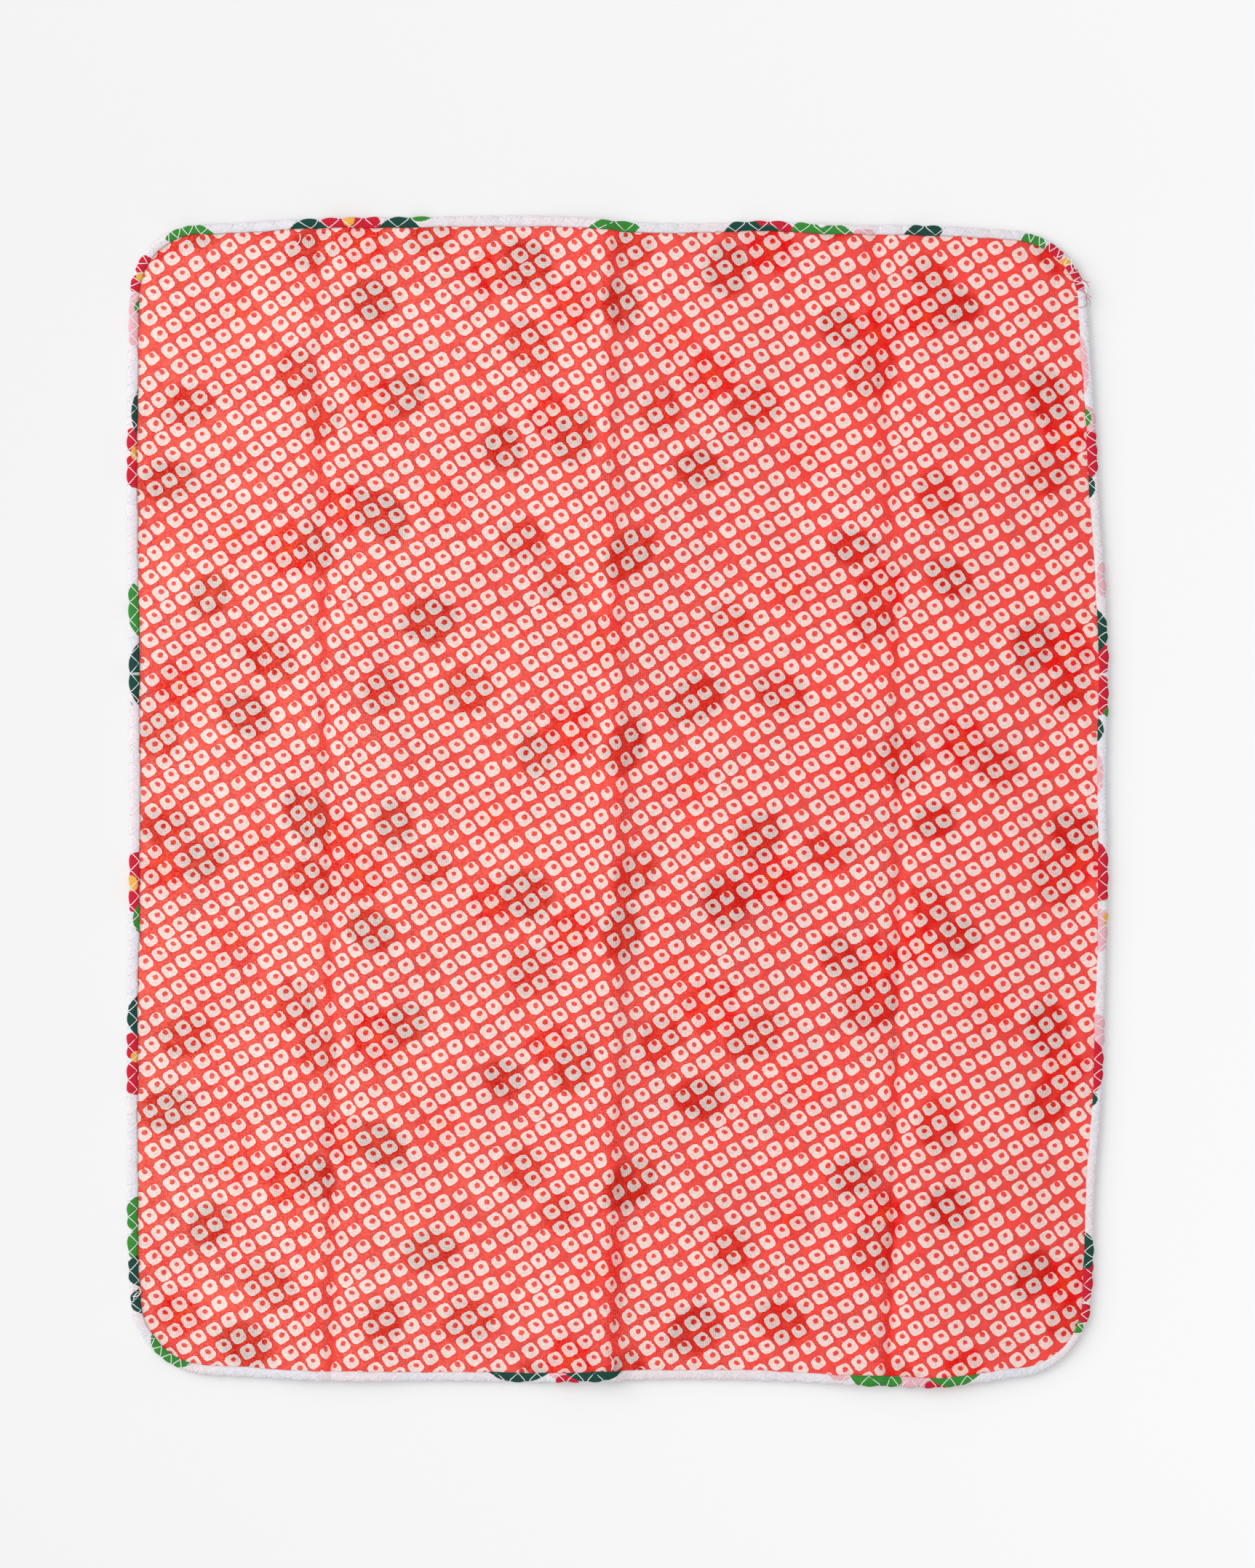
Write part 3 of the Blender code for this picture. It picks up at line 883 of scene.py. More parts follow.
class Graph:
    """A material's nodes, with one method for each kind of step."""

    fine_share: float = 0.55

    def __init__(self, name: str) -> None:
        """Make the material and find its shader.

        Args:
            name: the material's name.
        """
        self.material = bpy.data.materials.new(name)
        self.material.use_nodes = True
        self.nodes = self.material.node_tree.nodes
        self.links = self.material.node_tree.links
        self.shader = self.nodes["Principled BSDF"]

    def feed(self, socket: Socket, value: object) -> None:
        """Link a socket to a term or another socket, or set its constant.

        Args:
            socket: the input to feed.
            value: a term, a socket, a constant, or None to leave the input alone.
        """
        if isinstance(value, Term):
            self.links.new(value.socket, socket)
        elif isinstance(value, Socket):
            self.links.new(value, socket)
        elif value is not None:
            socket.default_value = value

    def node(self, kind: str, *inputs: object, **settings: object) -> bpy.types.Node:
        """Add a node, set it up and feed its inputs in order.

        Args:
            kind: the node's type, without its first word.
            inputs: what the inputs get, with None for one that is left alone.
            settings: the node's own options.

        Returns:
            The new node.
        """
        node = self.nodes.new("ShaderNode" + kind)
        for key, value in settings.items():
            setattr(node, key, value)
        for socket, value in zip(node.inputs, inputs):
            self.feed(socket, value)
        return node

    def maths(self, operation: str, *values: "Term | float") -> Term:
        """Return the result of one Math node."""
        return Term(self, self.node("Math", *values, operation=operation).outputs[0])

    def smooth(self, value: Term, low: float, high: float) -> Term:
        """Return 0 below low, 1 above high and a smooth step between them."""
        node = self.node("MapRange", value, low, high, 0.0, 1.0, interpolation_type="SMOOTHSTEP")
        return Term(self, node.outputs[0])

    def attribute(self, name: str) -> Term:
        """Return a number that the mesh carries."""
        return Term(self, self.node("Attribute", attribute_name=name).outputs["Fac"])

    def uv(self, name: str) -> tuple[Term, Term]:
        """Return both coordinates of one of the mesh's own UV maps."""
        split = self.node("SeparateXYZ", self.node("UVMap", uv_map=name).outputs[0])
        return Term(self, split.outputs[0]), Term(self, split.outputs[1])

    def joined(self, x: "Term | float", y: "Term | float") -> Socket:
        """Return two numbers as a place for a texture."""
        return self.node("CombineXYZ", x, y).outputs[0]

    def noise(self, place: Socket, scale: float, detail: float, space: str = "2D") -> Term:
        """Return soft noise about zero, from about -0.5 to 0.5.

        Args:
            place: where the noise is read.
            scale: how many lumps lie on a unit of length.
            detail: how many finer layers of lumps are added.
            space: 2D for flat places, or 3D.

        Returns:
            The noise at each place.
        """
        node = self.node(
            "TexNoise", place, None, scale, detail, self.fine_share, noise_dimensions=space)
        return Term(self, node.outputs[0]) - 0.5

    def lumps(self, place: Socket, *rows: Lumps) -> Term:
        """Return soft noises added up, each as much as it counts."""
        terms = [self.noise(place, row.scale, row.detail) * row.weight for row in rows]
        return sum(terms[1:], terms[0])

    def chance(self, x: "Term | float", y: "Term | float") -> Term:
        """Return an even chance from 0 to 1 that is the same all over each whole number."""
        node = self.node("TexWhiteNoise", self.joined(x, y), noise_dimensions="2D")
        return Term(self, node.outputs["Value"])

    def mixed(self, share: "Term | float", first: object, second: object) -> Socket:
        """Return a mix of two colours: the first at share 0 and the second at 1."""
        return self._blend("MIX", share, first, second)

    def times(self, first: object, second: object) -> Socket:
        """Return two colours multiplied."""
        return self._blend("MULTIPLY", 1.0, first, second)

    def plus(self, first: object, second: object) -> Socket:
        """Return two colours added."""
        return self._blend("ADD", 1.0, first, second)

    def grey(self, value: Term) -> Socket:
        """Return a number as a grey colour."""
        return self.node("CombineColor", value, value, value).outputs[0]

    def _blend(self, kind: str, share: object, first: object, second: object) -> Socket:
        """Return the result of one colour Mix node.

        Args:
            kind: how the colours are blended.
            share: how much of the blend there is, from 0 to 1.
            first: the colour beneath.
            second: the colour laid over it.

        Returns:
            The socket of the blended colour.
        """
        node = self.node("Mix", data_type="RGBA", blend_type=kind, clamp_factor=True)
        sockets = [s for s in node.inputs if s.type == "RGBA"]
        self.feed(node.inputs[0], share)
        self.feed(sockets[0], first)
        self.feed(sockets[1], second)
        return [s for s in node.outputs if s.type == "RGBA"][0]

    def chart(
        self, share: Term, stops: list[tuple[float, tuple[float, ...]]], kind: str,
    ) -> tuple[Term, Term, Term, Term]:
        """Return four numbers looked up in a colour ramp.

        Args:
            share: where to look, from 0 to 1.
            stops: position and four numbers from 0 to 1, in rising order.
            kind: CONSTANT to hold each stop, or LINEAR to run between them.

        Returns:
            The four numbers at that place.
        """
        node = self.node("ValToRGB", share)
        ramp = node.color_ramp
        ramp.interpolation = kind
        ramp.elements.remove(ramp.elements[1])
        ramp.elements[0].position = stops[0][0]
        ramp.elements[0].color = stops[0][1]
        for position, numbers in stops[1:]:
            ramp.elements.new(position).color = numbers
        split = self.node("SeparateColor", node.outputs["Color"])
        return tuple(Term(self, output) for output in (*split.outputs, node.outputs["Alpha"]))

    def finish(
        self, colour: object, roughness: object, height: Term, depth: float, strength: float,
        specular: float, sheen: float = 0.0,
    ) -> bpy.types.Material:
        """Wire the colour, roughness and bump into the shader.

        Args:
            colour: the surface's own colour.
            roughness: how matt it is.
            height: how high the fine relief stands, from about 0 to 1.
            depth: what a height of 1 stands for, in millimetres.
            strength: how much of the relief shows.
            specular: how strongly the surface mirrors.
            sheen: how strongly its fibres shine.

        Returns:
            The material.
        """
        bump = self.nodes.new("ShaderNodeBump")
        wiring = (
            (bump, "Strength", strength), (bump, "Distance", depth * MM), (bump, "Height", height),
            (self.shader, "Base Color", colour), (self.shader, "Roughness", roughness),
            (self.shader, "Specular IOR Level", specular), (self.shader, "Sheen Weight", sheen),
            (self.shader, "Normal", bump.outputs[0]),
        )
        for node, name, value in wiring:
            self.feed(node.inputs[name], value)
        return self.material


@dataclass(frozen=True)
class GauzeWeave:
    """Open plain weave of both cloths, drawn at its true thread count."""

    upright_pitch: float = 0.48
    level_pitch: float = 0.43
    sway: Lumps = Lumps(0.35, 1.0, 0.10)
    gap_low: float = 0.06
    gap_high: float = 0.42
    slub_apart: float = 3.7
    slub_along: float = 0.55
    crossing_change: float = 0.5
    hole_least: float = 0.2
    hole_change: float = 1.6

    def threads(self, graph: Graph) -> tuple[Term, Term, Term]:
        """Work out the weave from the map of flat places.

        Formula: a thread lies at each whole number of pitches, its cover is the squared
        cosine, and over and under alternate with the parity of the crossing thread.

        Args:
            graph: the material.

        Returns:
            The open pinholes, some wider than others, the height of the threads and their
            uneven tone about zero.
        """
        across, along = graph.uv("threads")
        sway_u = graph.lumps(graph.joined(across, along), self.sway)
        sway_v = graph.lumps(graph.joined(along, across), self.sway)
        u, v = (across + sway_u) / self.upright_pitch, (along + sway_v) / self.level_pitch
        near_u, near_v = u.step("ROUND"), v.step("ROUND")
        cover_u = (u * np.pi).step("COSINE").step("POWER", 2.0)
        cover_v = (v * np.pi).step("COSINE").step("POWER", 2.0)
        gap_u = 1.0 - graph.smooth(cover_u, self.gap_low, self.gap_high)
        gap_v = 1.0 - graph.smooth(cover_v, self.gap_low, self.gap_high)
        over_u = ((v + near_u) * np.pi).step("COSINE") * 0.5 + 0.5
        over_v = 0.5 - ((u + near_v) * np.pi).step("COSINE") * 0.5
        height = (cover_u * over_u).step("MAXIMUM", cover_v * over_v)
        slub_u = graph.noise(graph.joined(near_u * self.slub_apart, along * self.slub_along), 1.0, 1.0)
        slub_v = graph.noise(graph.joined(across * self.slub_along, near_v * self.slub_apart), 1.0, 1.0)
        on_top = over_u.step("GREATER_THAN", over_v)
        uneven = graph.chance(near_u + 0.5, near_v + 0.5) - 0.5
        tone = slub_u * on_top + slub_v * (1.0 - on_top) + uneven * self.crossing_change
        width = graph.chance(u.step("FLOOR"), v.step("FLOOR")) * self.hole_change + self.hole_least
        return gap_u * gap_v * width, height, tone


WEAVE = GauzeWeave()


@dataclass(frozen=True)
class CamelliaInks:
    """Colours of the floral print and how sharply they end."""

    lilac: Colour = (0.82, 0.80, 0.86, 1.0)
    rosy: Colour = (0.87, 0.78, 0.81, 1.0)
    pink: Colour = (0.85, 0.42, 0.48, 1.0)
    crimson: Colour = (0.64, 0.012, 0.036, 1.0)
    green: Colour = (0.040, 0.270, 0.036, 1.0)
    dark: Colour = (0.008, 0.066, 0.048, 1.0)
    yellow: Colour = (0.88, 0.46, 0.080, 1.0)
    line: Colour = (0.66, 0.70, 0.66, 1.0)
    ragged: Lumps = Lumps(2.2, 2.0, 0.35)
    warmth_scale: float = 0.035
    warmth_low: float = -0.12
    warmth_high: float = 0.16
    line_strength: float = 0.85
    stripe_pitch: float = 0.7
    stripe_heading: tuple[float, float] = (0.8, 0.6)
    stripe_change: float = 0.12
    petal_strength: float = 0.86

    def colour(
        self, graph: Graph, blur: float, green: Colour | None = None, spread: float = 0.0,
    ) -> Socket:
        """Lay the inks over each other, from the distances that the mesh carries.

        Args:
            graph: the material.
            blur: half the width of an ink's edge, in millimetres.
            green: another colour for the green leaves, where there is one.
            spread: how much wider the shapes look, all round, in millimetres.

        Returns:
            The printed colour.
        """
        across, along = graph.uv("threads")
        place = graph.joined(across, along)
        ragged = graph.lumps(place, self.ragged)
        order = (
            (Tone.PINK, self.pink), (Tone.CRIMSON, self.crimson), (Tone.GREEN, green or self.green),
            (Tone.DARK, self.dark), (Tone.YELLOW, self.yellow),
        )
        warmth = graph.noise(place, self.warmth_scale, 1.0)
        warmth = graph.smooth(warmth, self.warmth_low, self.warmth_high)
        colour, inked = graph.mixed(warmth, self.lilac, self.rosy), None
        for tone, ink in order:
            wider = 0.0 if tone is Tone.YELLOW else spread
            share = graph.smooth(ragged + wider - graph.attribute(tone.value), -blur, blur)
            if tone is Tone.PINK:
                share = share * self._stripes(across, along)
            if tone is Tone.YELLOW:
                line = graph.smooth(0.0 - graph.attribute(Tone.LINE.value), -blur, blur)
                colour = graph.mixed(line * inked * self.line_strength, colour, self.line)
            inked = share if inked is None else inked.step("MAXIMUM", share)
            colour = graph.mixed(share, colour, ink)
        return colour

    def _stripes(self, across: Term, along: Term) -> Term:
        """Return how strongly the petals are inked: a sine wave of fine slanting stripes.

        Args:
            across, along: flat places.

        Returns:
            The share of ink at each place.
        """
        way = across * self.stripe_heading[0] + along * self.stripe_heading[1]
        wave = (way * (2.0 * np.pi / self.stripe_pitch)).step("SINE")
        return wave * self.stripe_change + self.petal_strength


INKS = CamelliaInks()


class DotShape(NamedTuple):
    """One tied dot: how far its four sides lie out, and the red eye in it."""

    sides: tuple[float, ...]
    power: float
    turns: tuple[float, float]
    eye: tuple[float, float]
    eye_size: tuple[float, float]
    eye_turn: float


class Dot(Enum):
    """The kinds of dot, in the order in which they were told apart."""

    WIDE = DotShape((1.74, 1.85, 1.74, 1.88), 3.3, (41.0, 125.0), (0.20, 0.38), (0.68, 0.63), 45.0)
    EVEN = DotShape((1.69, 1.73, 1.72, 1.79), 3.4, (33.5, 118.7), (0.01, 0.38), (0.72, 0.52), 153.0)
    TALL = DotShape((1.69, 1.82, 1.64, 1.83), 3.45, (38.0, 127.6), (-0.11, 0.30), (0.55, 0.54), 0.0)
    PLAIN = DotShape((1.72, 1.69, 1.71, 1.74), 3.2, (38.0, 120.0), (0.10, 0.35), (0.64, 0.52), 173.0)
    OPEN = DotShape((1.63, 1.52, 1.60, 1.52), 3.55, (39.0, 127.0), (-0.08, 0.79), (0.74, 0.61), 132.0)
    FULL = DotShape((1.80, 1.77, 1.81, 1.80), 3.2, (30.4, 120.3), (-0.07, 0.36), (0.56, 0.54), 0.0)


class DotRun(NamedTuple):
    """A run of like dots: how many, their kind, and their drift off the lattice."""

    count: int
    dot: Dot
    first: tuple[float, float]
    last: tuple[float, float]


DOT_RUNS = table(
    DotRun,
    (5, Dot.EVEN, (-0.34, 0.32), (-0.14, 0.16)), (8, Dot.EVEN, (-0.13, 0.42), (-0.04, -0.01)),
    (8, Dot.TALL, (0.17, 0.05), (-0.02, -0.32)), (5, Dot.PLAIN, (-0.26, 0.16), (-0.09, -0.01)),
    (8, Dot.PLAIN, (-0.12, 0.26), (0.05, -0.16)), (8, Dot.OPEN, (-0.31, 0.21), (-0.48, -0.16)),
    (5, Dot.FULL, (-0.38, 0.44), (-0.26, 0.25)), (8, Dot.FULL, (-0.28, 0.51), (-0.10, 0.09)),
    (8, Dot.WIDE, (0.19, -0.02), (0.14, -0.39)), (5, Dot.OPEN, (0.07, -0.07), (0.14, -0.25)),
    (8, Dot.OPEN, (0.18, 0.02), (0.32, -0.40)), (8, Dot.EVEN, (0.04, -0.03), (0.21, -0.40)),
    (5, Dot.WIDE, (0.17, 0.03), (0.24, -0.16)), (8, Dot.WIDE, (0.37, 0.11), (0.32, -0.29)),
)


@dataclass(frozen=True)
class TiedDotLattice:
    """Where the dots lie: a slanting lattice whose dots repeat after a count of 97."""

    origin: tuple[float, float] = (-30.07, 20.61)
    step_a: tuple[float, float] = (3.848, 2.139)
    step_b: tuple[float, float] = (2.477, -4.151)
    repeat: int = 97
    row_skip: int = 21
    first_number: int = 4
    mean_size: float = 1.72
    ring_blur: float = 0.06
    rim_reach: float = 0.42
    eye_growth: float = 1.08
    mean_eye: float = 0.6
    eye_blur: float = 0.07
    most_side: float = 3.0
    most_power: float = 5.0
    most_turn: float = 180.0
    run_end: float = 0.04
    left_panel: float = -80.0
    left_panel_fade: float = 36.0
    panel_drift: tuple[Place, ...] = table(
        Place, (-125.0, 0.15), (-80.0, 0.54), (-66.0, -0.3), (-55.0, 0.04), (-37.0, 0.45),
        (-22.0, 0.97), (-9.0, 1.28), (4.0, 0.1), (15.0, 0.13), (28.0, 0.42), (47.0, 0.78),
        (63.0, 1.25), (76.0, 0.35), (93.0, 0.6), (112.0, 0.84), (125.0, 0.9),
    )
    bow: tuple[Place, ...] = table(
        Place, (-149.0, -2.4), (-133.0, -2.0), (-96.0, -1.0), (-59.0, 0.0), (-22.0, 0.33),
        (15.0, 0.28), (52.0, 0.0), (90.0, -0.7), (127.0, -1.43), (145.0, -1.9),
    )
    left_drop: tuple[Place, ...] = table(
        Place, (-40.0, 0.0), (-22.0, -1.0), (15.0, -0.8), (52.0, -1.6), (90.0, -2.4), (149.0, -2.4),
    )

    def coordinates(self, x: Array, y: Array) -> Array:
        """Return each point's place counted in lattice steps.

        Formula: the point less the drift of the stretched cloth, then the two steps
        solved as a pair of linear equations.

        Args:
            x, y: places in the lying cloth.

        Returns:
            One row for each point: its count of each lattice step.
        """
        shift_x = np.interp(x, *zip(*self.panel_drift)) + through(self.bow, y)
        in_left_panel = np.clip((self.left_panel - x) / self.left_panel_fade, 0.0, 1.0)
        shift_y = through(self.left_drop, y) * in_left_panel
        steps = np.array([self.step_a, self.step_b]).T
        offset = np.stack((x - shift_x - self.origin[0], y - shift_y - self.origin[1]))
        return np.linalg.solve(steps, offset).T

    def ink_edges(self, graph: Graph, ragged: Term, narrowed: Term) -> tuple[Term, Term]:
        """Tell the pale rings of the dots from the red ground and their red eyes.

        Formula: a dot is a rounded square, the sum of powers of how far out a point lies
        towards each of four sides. Its kind comes from its number along the run. The
        rim is a peak that falls off linearly on both sides of a dot's outline.

        Args:
            graph: the material.
            ragged: how far the outlines are pushed about by the threads, in millimetres.
            narrowed: how many times narrower the dots look, seen from above.

        Returns:
            1 on the pale ring of a dot and 0 elsewhere, and 1 on its outline falling to 0.
        """
        a, b = graph.uv("lattice")
        cell_a, cell_b = a.step("ROUND"), b.step("ROUND")
        number = cell_b + cell_a * float(self.row_skip) - float(self.first_number)
        share = (number.step("FLOORED_MODULO", float(self.repeat)) + 0.5) / float(self.repeat)
        side_1, side_2, side_3, side_4 = self._kinds(
            graph, share, lambda dot: np.array(dot.sides) / self.most_side)
        turn_1, turn_2, power, eye_turn = self._kinds(graph, share, lambda dot: (
            *(np.array(dot.turns) / self.most_turn), dot.power / self.most_power,
            dot.eye_turn / self.most_turn))
        eye_x, eye_y, eye_long, eye_wide = self._kinds(
            graph, share, lambda dot: (*(0.5 + 0.5 * np.array(dot.eye)), *dot.eye_size))
        shift_x, shift_y = self._drifts(graph, share)
        off_a, off_b = a - cell_a, b - cell_b
        x = (off_a * self.step_a[0] + off_b * self.step_b[0] - shift_x) * narrowed
        y = off_a * self.step_a[1] + off_b * self.step_b[1] - shift_y
        power = power * self.most_power
        total = self._side(x, y, turn_1, side_1, side_3, power) \
            + self._side(x, y, turn_2, side_2, side_4, power)
        inside = (1.0 - total.step("POWER", 1.0 / power)) * self.mean_size
        ring = graph.smooth(inside + ragged, -self.ring_blur, self.ring_blur)
        rim = (1.0 - (inside + ragged).step("ABSOLUTE") / self.rim_reach).step("MAXIMUM", 0.0)
        ex = x - (eye_x - 0.5) * 2.0
        ey = y - (eye_y - 0.5) * 2.0
        cosine, sine = self._heading(eye_turn)
        far = (ex * cosine + ey * sine) / (eye_long * self.eye_growth)
        near = (ey * cosine - ex * sine) / (eye_wide * self.eye_growth)
        out = ((far * far + near * near).step("SQRT") - 1.0) * self.mean_eye
        return ring * graph.smooth(out + ragged, -self.eye_blur, self.eye_blur), rim

    def _side(self, x: Term, y: Term, turn: Term, ahead: Term, behind: Term, power: Term) -> Term:
        """Return one pair of sides' share of the sum of powers.

        Args:
            x, y: how far the point lies from the dot's middle.
            turn: which way the first side faces, as a share of half a circle.
            ahead, behind: how far out it and the opposite side lie, as shares of the most.
            power: the power of the rounded square.

        Returns:
            The distance towards the side over the side's own, to that power.
        """
        cosine, sine = self._heading(turn)
        reach = x * cosine + y * sine
        front = reach.step("GREATER_THAN", 0.0)
        limit = (ahead * front + behind * (1.0 - front)) * self.most_side
        return (reach.step("ABSOLUTE") / limit).step("POWER", power)

    @staticmethod
    def _heading(turn: Term) -> tuple[Term, Term]:
        """Return the cosine and sine of a turn given as a share of half a circle."""
        angle = turn * np.pi
        return angle.step("COSINE"), angle.step("SINE")

    def _kinds(
        self, graph: Graph, share: Term, numbers: Callable[[DotShape], Iterable[float]],
    ) -> tuple[Term, ...]:
        """Look up four numbers of the dot's kind, which hold over each run.

        Args:
            graph: the material.
            share: the dot's place in the count that repeats, from 0 to 1.
            numbers: gives the four numbers of a kind, from 0 to 1.

        Returns:
            The four numbers of the dot at each point.
        """
        stops, first = [], 0
        for run in DOT_RUNS:
            stops.append((first / self.repeat, tuple(numbers(run.dot.value))))
            first += run.count
        return graph.chart(share, stops, "CONSTANT")

    def _drifts(self, graph: Graph, share: Term) -> tuple[Term, Term]:
        """Look up how far the dot has drifted off the lattice, straight along each run.

        Args:
            graph: the material.
            share: the dot's place in the count that repeats, from 0 to 1.

        Returns:
            The drift of the dot at each point, across and along.
        """
        stops, first = [], 0
        for run in DOT_RUNS:
            start, end = np.array(run.first), np.array(run.last)
            beyond = (0.5 - self.run_end) * (end - start) / (run.count - 1)
            for place, drift in (
                (first + self.run_end, start - beyond),
                (first + run.count - self.run_end, end + beyond),
            ):
                x, y = 0.5 + 0.5 * drift
                stops.append((place / self.repeat, (x, y, 0.0, 1.0)))
            first += run.count
        x, y, _, _ = graph.chart(share, stops, "LINEAR")
        return (x - 0.5) * 2.0, (y - 0.5) * 2.0


LATTICE = TiedDotLattice()


@dataclass(frozen=True)
class KanokoFinish:
    """Red gauze with off-white tied dots, through which the floral print shows.

    Each row of shades has the thin and the full ink of the cloth's right part, then
    the same inks paler with painted sheen of the lamp on its left part.
    """

    name: str = "kanoko_gauze"
    # The last two shades of red and of pale are the same dyes lit by painted sheen of the lamp.
    red: tuple[Colour, ...] = (
        (0.750, 0.001, 0.001, 1.0), (1.000, 0.020, 0.010, 1.0),
        (0.770, 0.002, 0.001, 1.0), (1.000, 0.112, 0.064, 1.0))
    pale: tuple[Colour, ...] = (
        (0.815, 0.583, 0.547, 1.0), (0.955, 0.753, 0.722, 1.0),
        (0.830, 0.633, 0.597, 1.0), (0.970, 0.818, 0.777, 1.0))
    # How far the painted sheen of the lamp reaches, from the cloth's left part to its right.
    painted_sheen_reach: float = 120.0
    ragged: tuple[Lumps, ...] = table(Lumps, (1.1, 2.0, 0.30), (4.0, 1.0, 0.18))
    ragged_threads: float = 0.10
    patches: tuple[Lumps, ...] = table(Lumps, (0.16, 3.0, 0.60), (0.045, 2.0, 0.55))
    patchy_threads: float = 0.80
    rim_thin: float = 0.22
    rim_change: float = 0.50
    full_ink: float = 0.42
    # Painted shade of the weave: a thread is darker where it dips under the crossing one.
    relief: float = 0.26
    hollow_shade: float = 0.86
    own: float = 0.845
    seen_through: float = 0.26
    warmed: Colour = (1.0, 0.95, 0.80, 1.0)
    leaf_behind: Colour = (0.26, 0.14, 0.12, 1.0)
    blur: float = 1.7
    spread: float = 0.55
    veil: float = 0.055
    open_red: float = 0.32
    open_pale: float = 0.35
    # Painted shade along the three upright folds, stronger near the bottom edge, and its colour.
    crease_shifts: tuple[float, ...] = (-0.5, 1.25, -0.5)
    crease_core: float = 0.1
    crease_reach: float = 3.1
    crease_depth: float = 0.24
    crease_change: Lumps = Lumps(0.045, 2.0, 1.1)
    bottom_depth: float = 0.20
    bottom_from: float = -60.0
    bottom_to: float = -140.0
    crease_shade_colour: Colour = (0.98, 0.0, 0.0, 1.0)
    dot_narrowing: float = 1.20
    dot_crease_shade: float = 0.45
    roughness: float = 0.94
    thread_shine: float = 0.12

    def _creased(self, graph: Graph, across: Term, along: Term) -> Term:
        """Tell how sharply the cloth is creased, as uneven along a fold as the pressing.

        Formula: most at a fold's line and nothing beyond its reach, times soft noise
        along it, and more near the bottom edge. The share sets the painted shade of
        the creases and how much narrower the dots look.

        Args:
            graph: the material.
            across, along: flat places.

        Returns:
            0 where the cloth is smooth, up to about 1 in the sharpest crease.
        """
        depth = graph.lumps(graph.joined(across, along), self.crease_change) + self.crease_depth
        depth = depth + graph.smooth(along, self.bottom_from, self.bottom_to) * self.bottom_depth
        lines = []
        for fold, shift in zip(FOLDS.upright_folds, self.crease_shifts):
            away = graph.maths("ABSOLUTE", across - (fold + shift))
            lines.append(1.0 - graph.smooth(away, self.crease_core, self.crease_reach))
        return sum(lines[1:], lines[0]) * depth.step("MAXIMUM", 0.0)

    @staticmethod
    def _shaded(graph: Graph, strength: Term, painted_sheen: Term, shades: tuple[Colour, ...]) -> Socket:
        """Mix four shades of one dye.

        Args:
            graph: the material.
            strength: how full the ink is, from 0 to 1.
            painted_sheen: how much painted sheen of the lamp pales the dye, from 0 to 1.
            shades: thin and full ink without the painted sheen, then with it.

        Returns:
            The dye's colour at each point.
        """
        sheen_free = graph.mixed(strength, shades[0], shades[1])
        return graph.mixed(painted_sheen, sheen_free, graph.mixed(strength, shades[2], shades[3]))

    def material(self) -> bpy.types.Material:
        """Build the material.

        Formula: the inked threads, with painted shade where a thread dips under the
        crossing one, plus the back cloth times the threads' colour squared, as light
        goes through them twice, and the back cloth itself in the pinholes and,
        faintly, between all the fibres. The colour pales from the right part of the
        cloth to the left: painted sheen of the lamp on the left. In a crease the dots
        look narrower, and painted shade darkens the green and blue there, for the
        fold's shade and for light that goes from thread to thread and comes out a
        deeper red.

        Returns:
            The material.
        """
        graph = Graph(self.name)
        across, along = graph.uv("threads")
        place = graph.joined(across, along)
        opening, height, tone = WEAVE.threads(graph)
        ragged = graph.lumps(place, *self.ragged) + tone * self.ragged_threads
        creased = self._creased(graph, across, along)
        dots, rim = LATTICE.ink_edges(graph, ragged, creased * self.dot_narrowing + 1.0)
        uneven = graph.lumps(place, *self.patches) + tone * self.patchy_threads
        uneven = uneven + rim * (dots * self.rim_change - self.rim_thin)
        strength = graph.smooth(uneven, -self.full_ink, self.full_ink)
        # Painted sheen of the lamp: 1 at the cloth's left, falling to 0 at its right.
        painted_sheen = 1.0 - graph.smooth(across, -self.painted_sheen_reach, self.painted_sheen_reach)
        red = self._shaded(graph, strength, painted_sheen, self.red)
        pale = self._shaded(graph, strength, painted_sheen, self.pale)
        threads = graph.mixed(dots, red, pale)
        # Painted shade between the threads: darker where a thread dips under the crossing one.
        threads = graph.times(threads, graph.grey(height * self.relief + self.hollow_shade))
        behind = INKS.colour(graph, self.blur, self.leaf_behind, self.spread)
        behind = graph.times(behind, self.warmed)
        filtered = graph.times(threads, graph.times(threads, grey(self.seen_through)))
        glow = graph.times(behind, filtered)
        cloth = graph.plus(graph.times(threads, grey(self.own)), glow)
        open_share = dots * (self.open_pale - self.open_red) + self.open_red
        colour = graph.mixed(opening * open_share + self.veil, cloth, behind)
        # Painted shade in the creases: green and blue darken, less on the dots, for the fold's shade
        # and the light that comes out a deeper red.
        crease_shade_share = creased * (dots * (self.dot_crease_shade - 1.0) + 1.0)
        colour = graph.times(colour, graph.mixed(crease_shade_share, grey(1.0), self.crease_shade_colour))
        return graph.finish(
            colour, self.roughness - height * self.thread_shine, height - opening,
            depth=0.10, strength=0.35, specular=0.12, sheen=0.03)


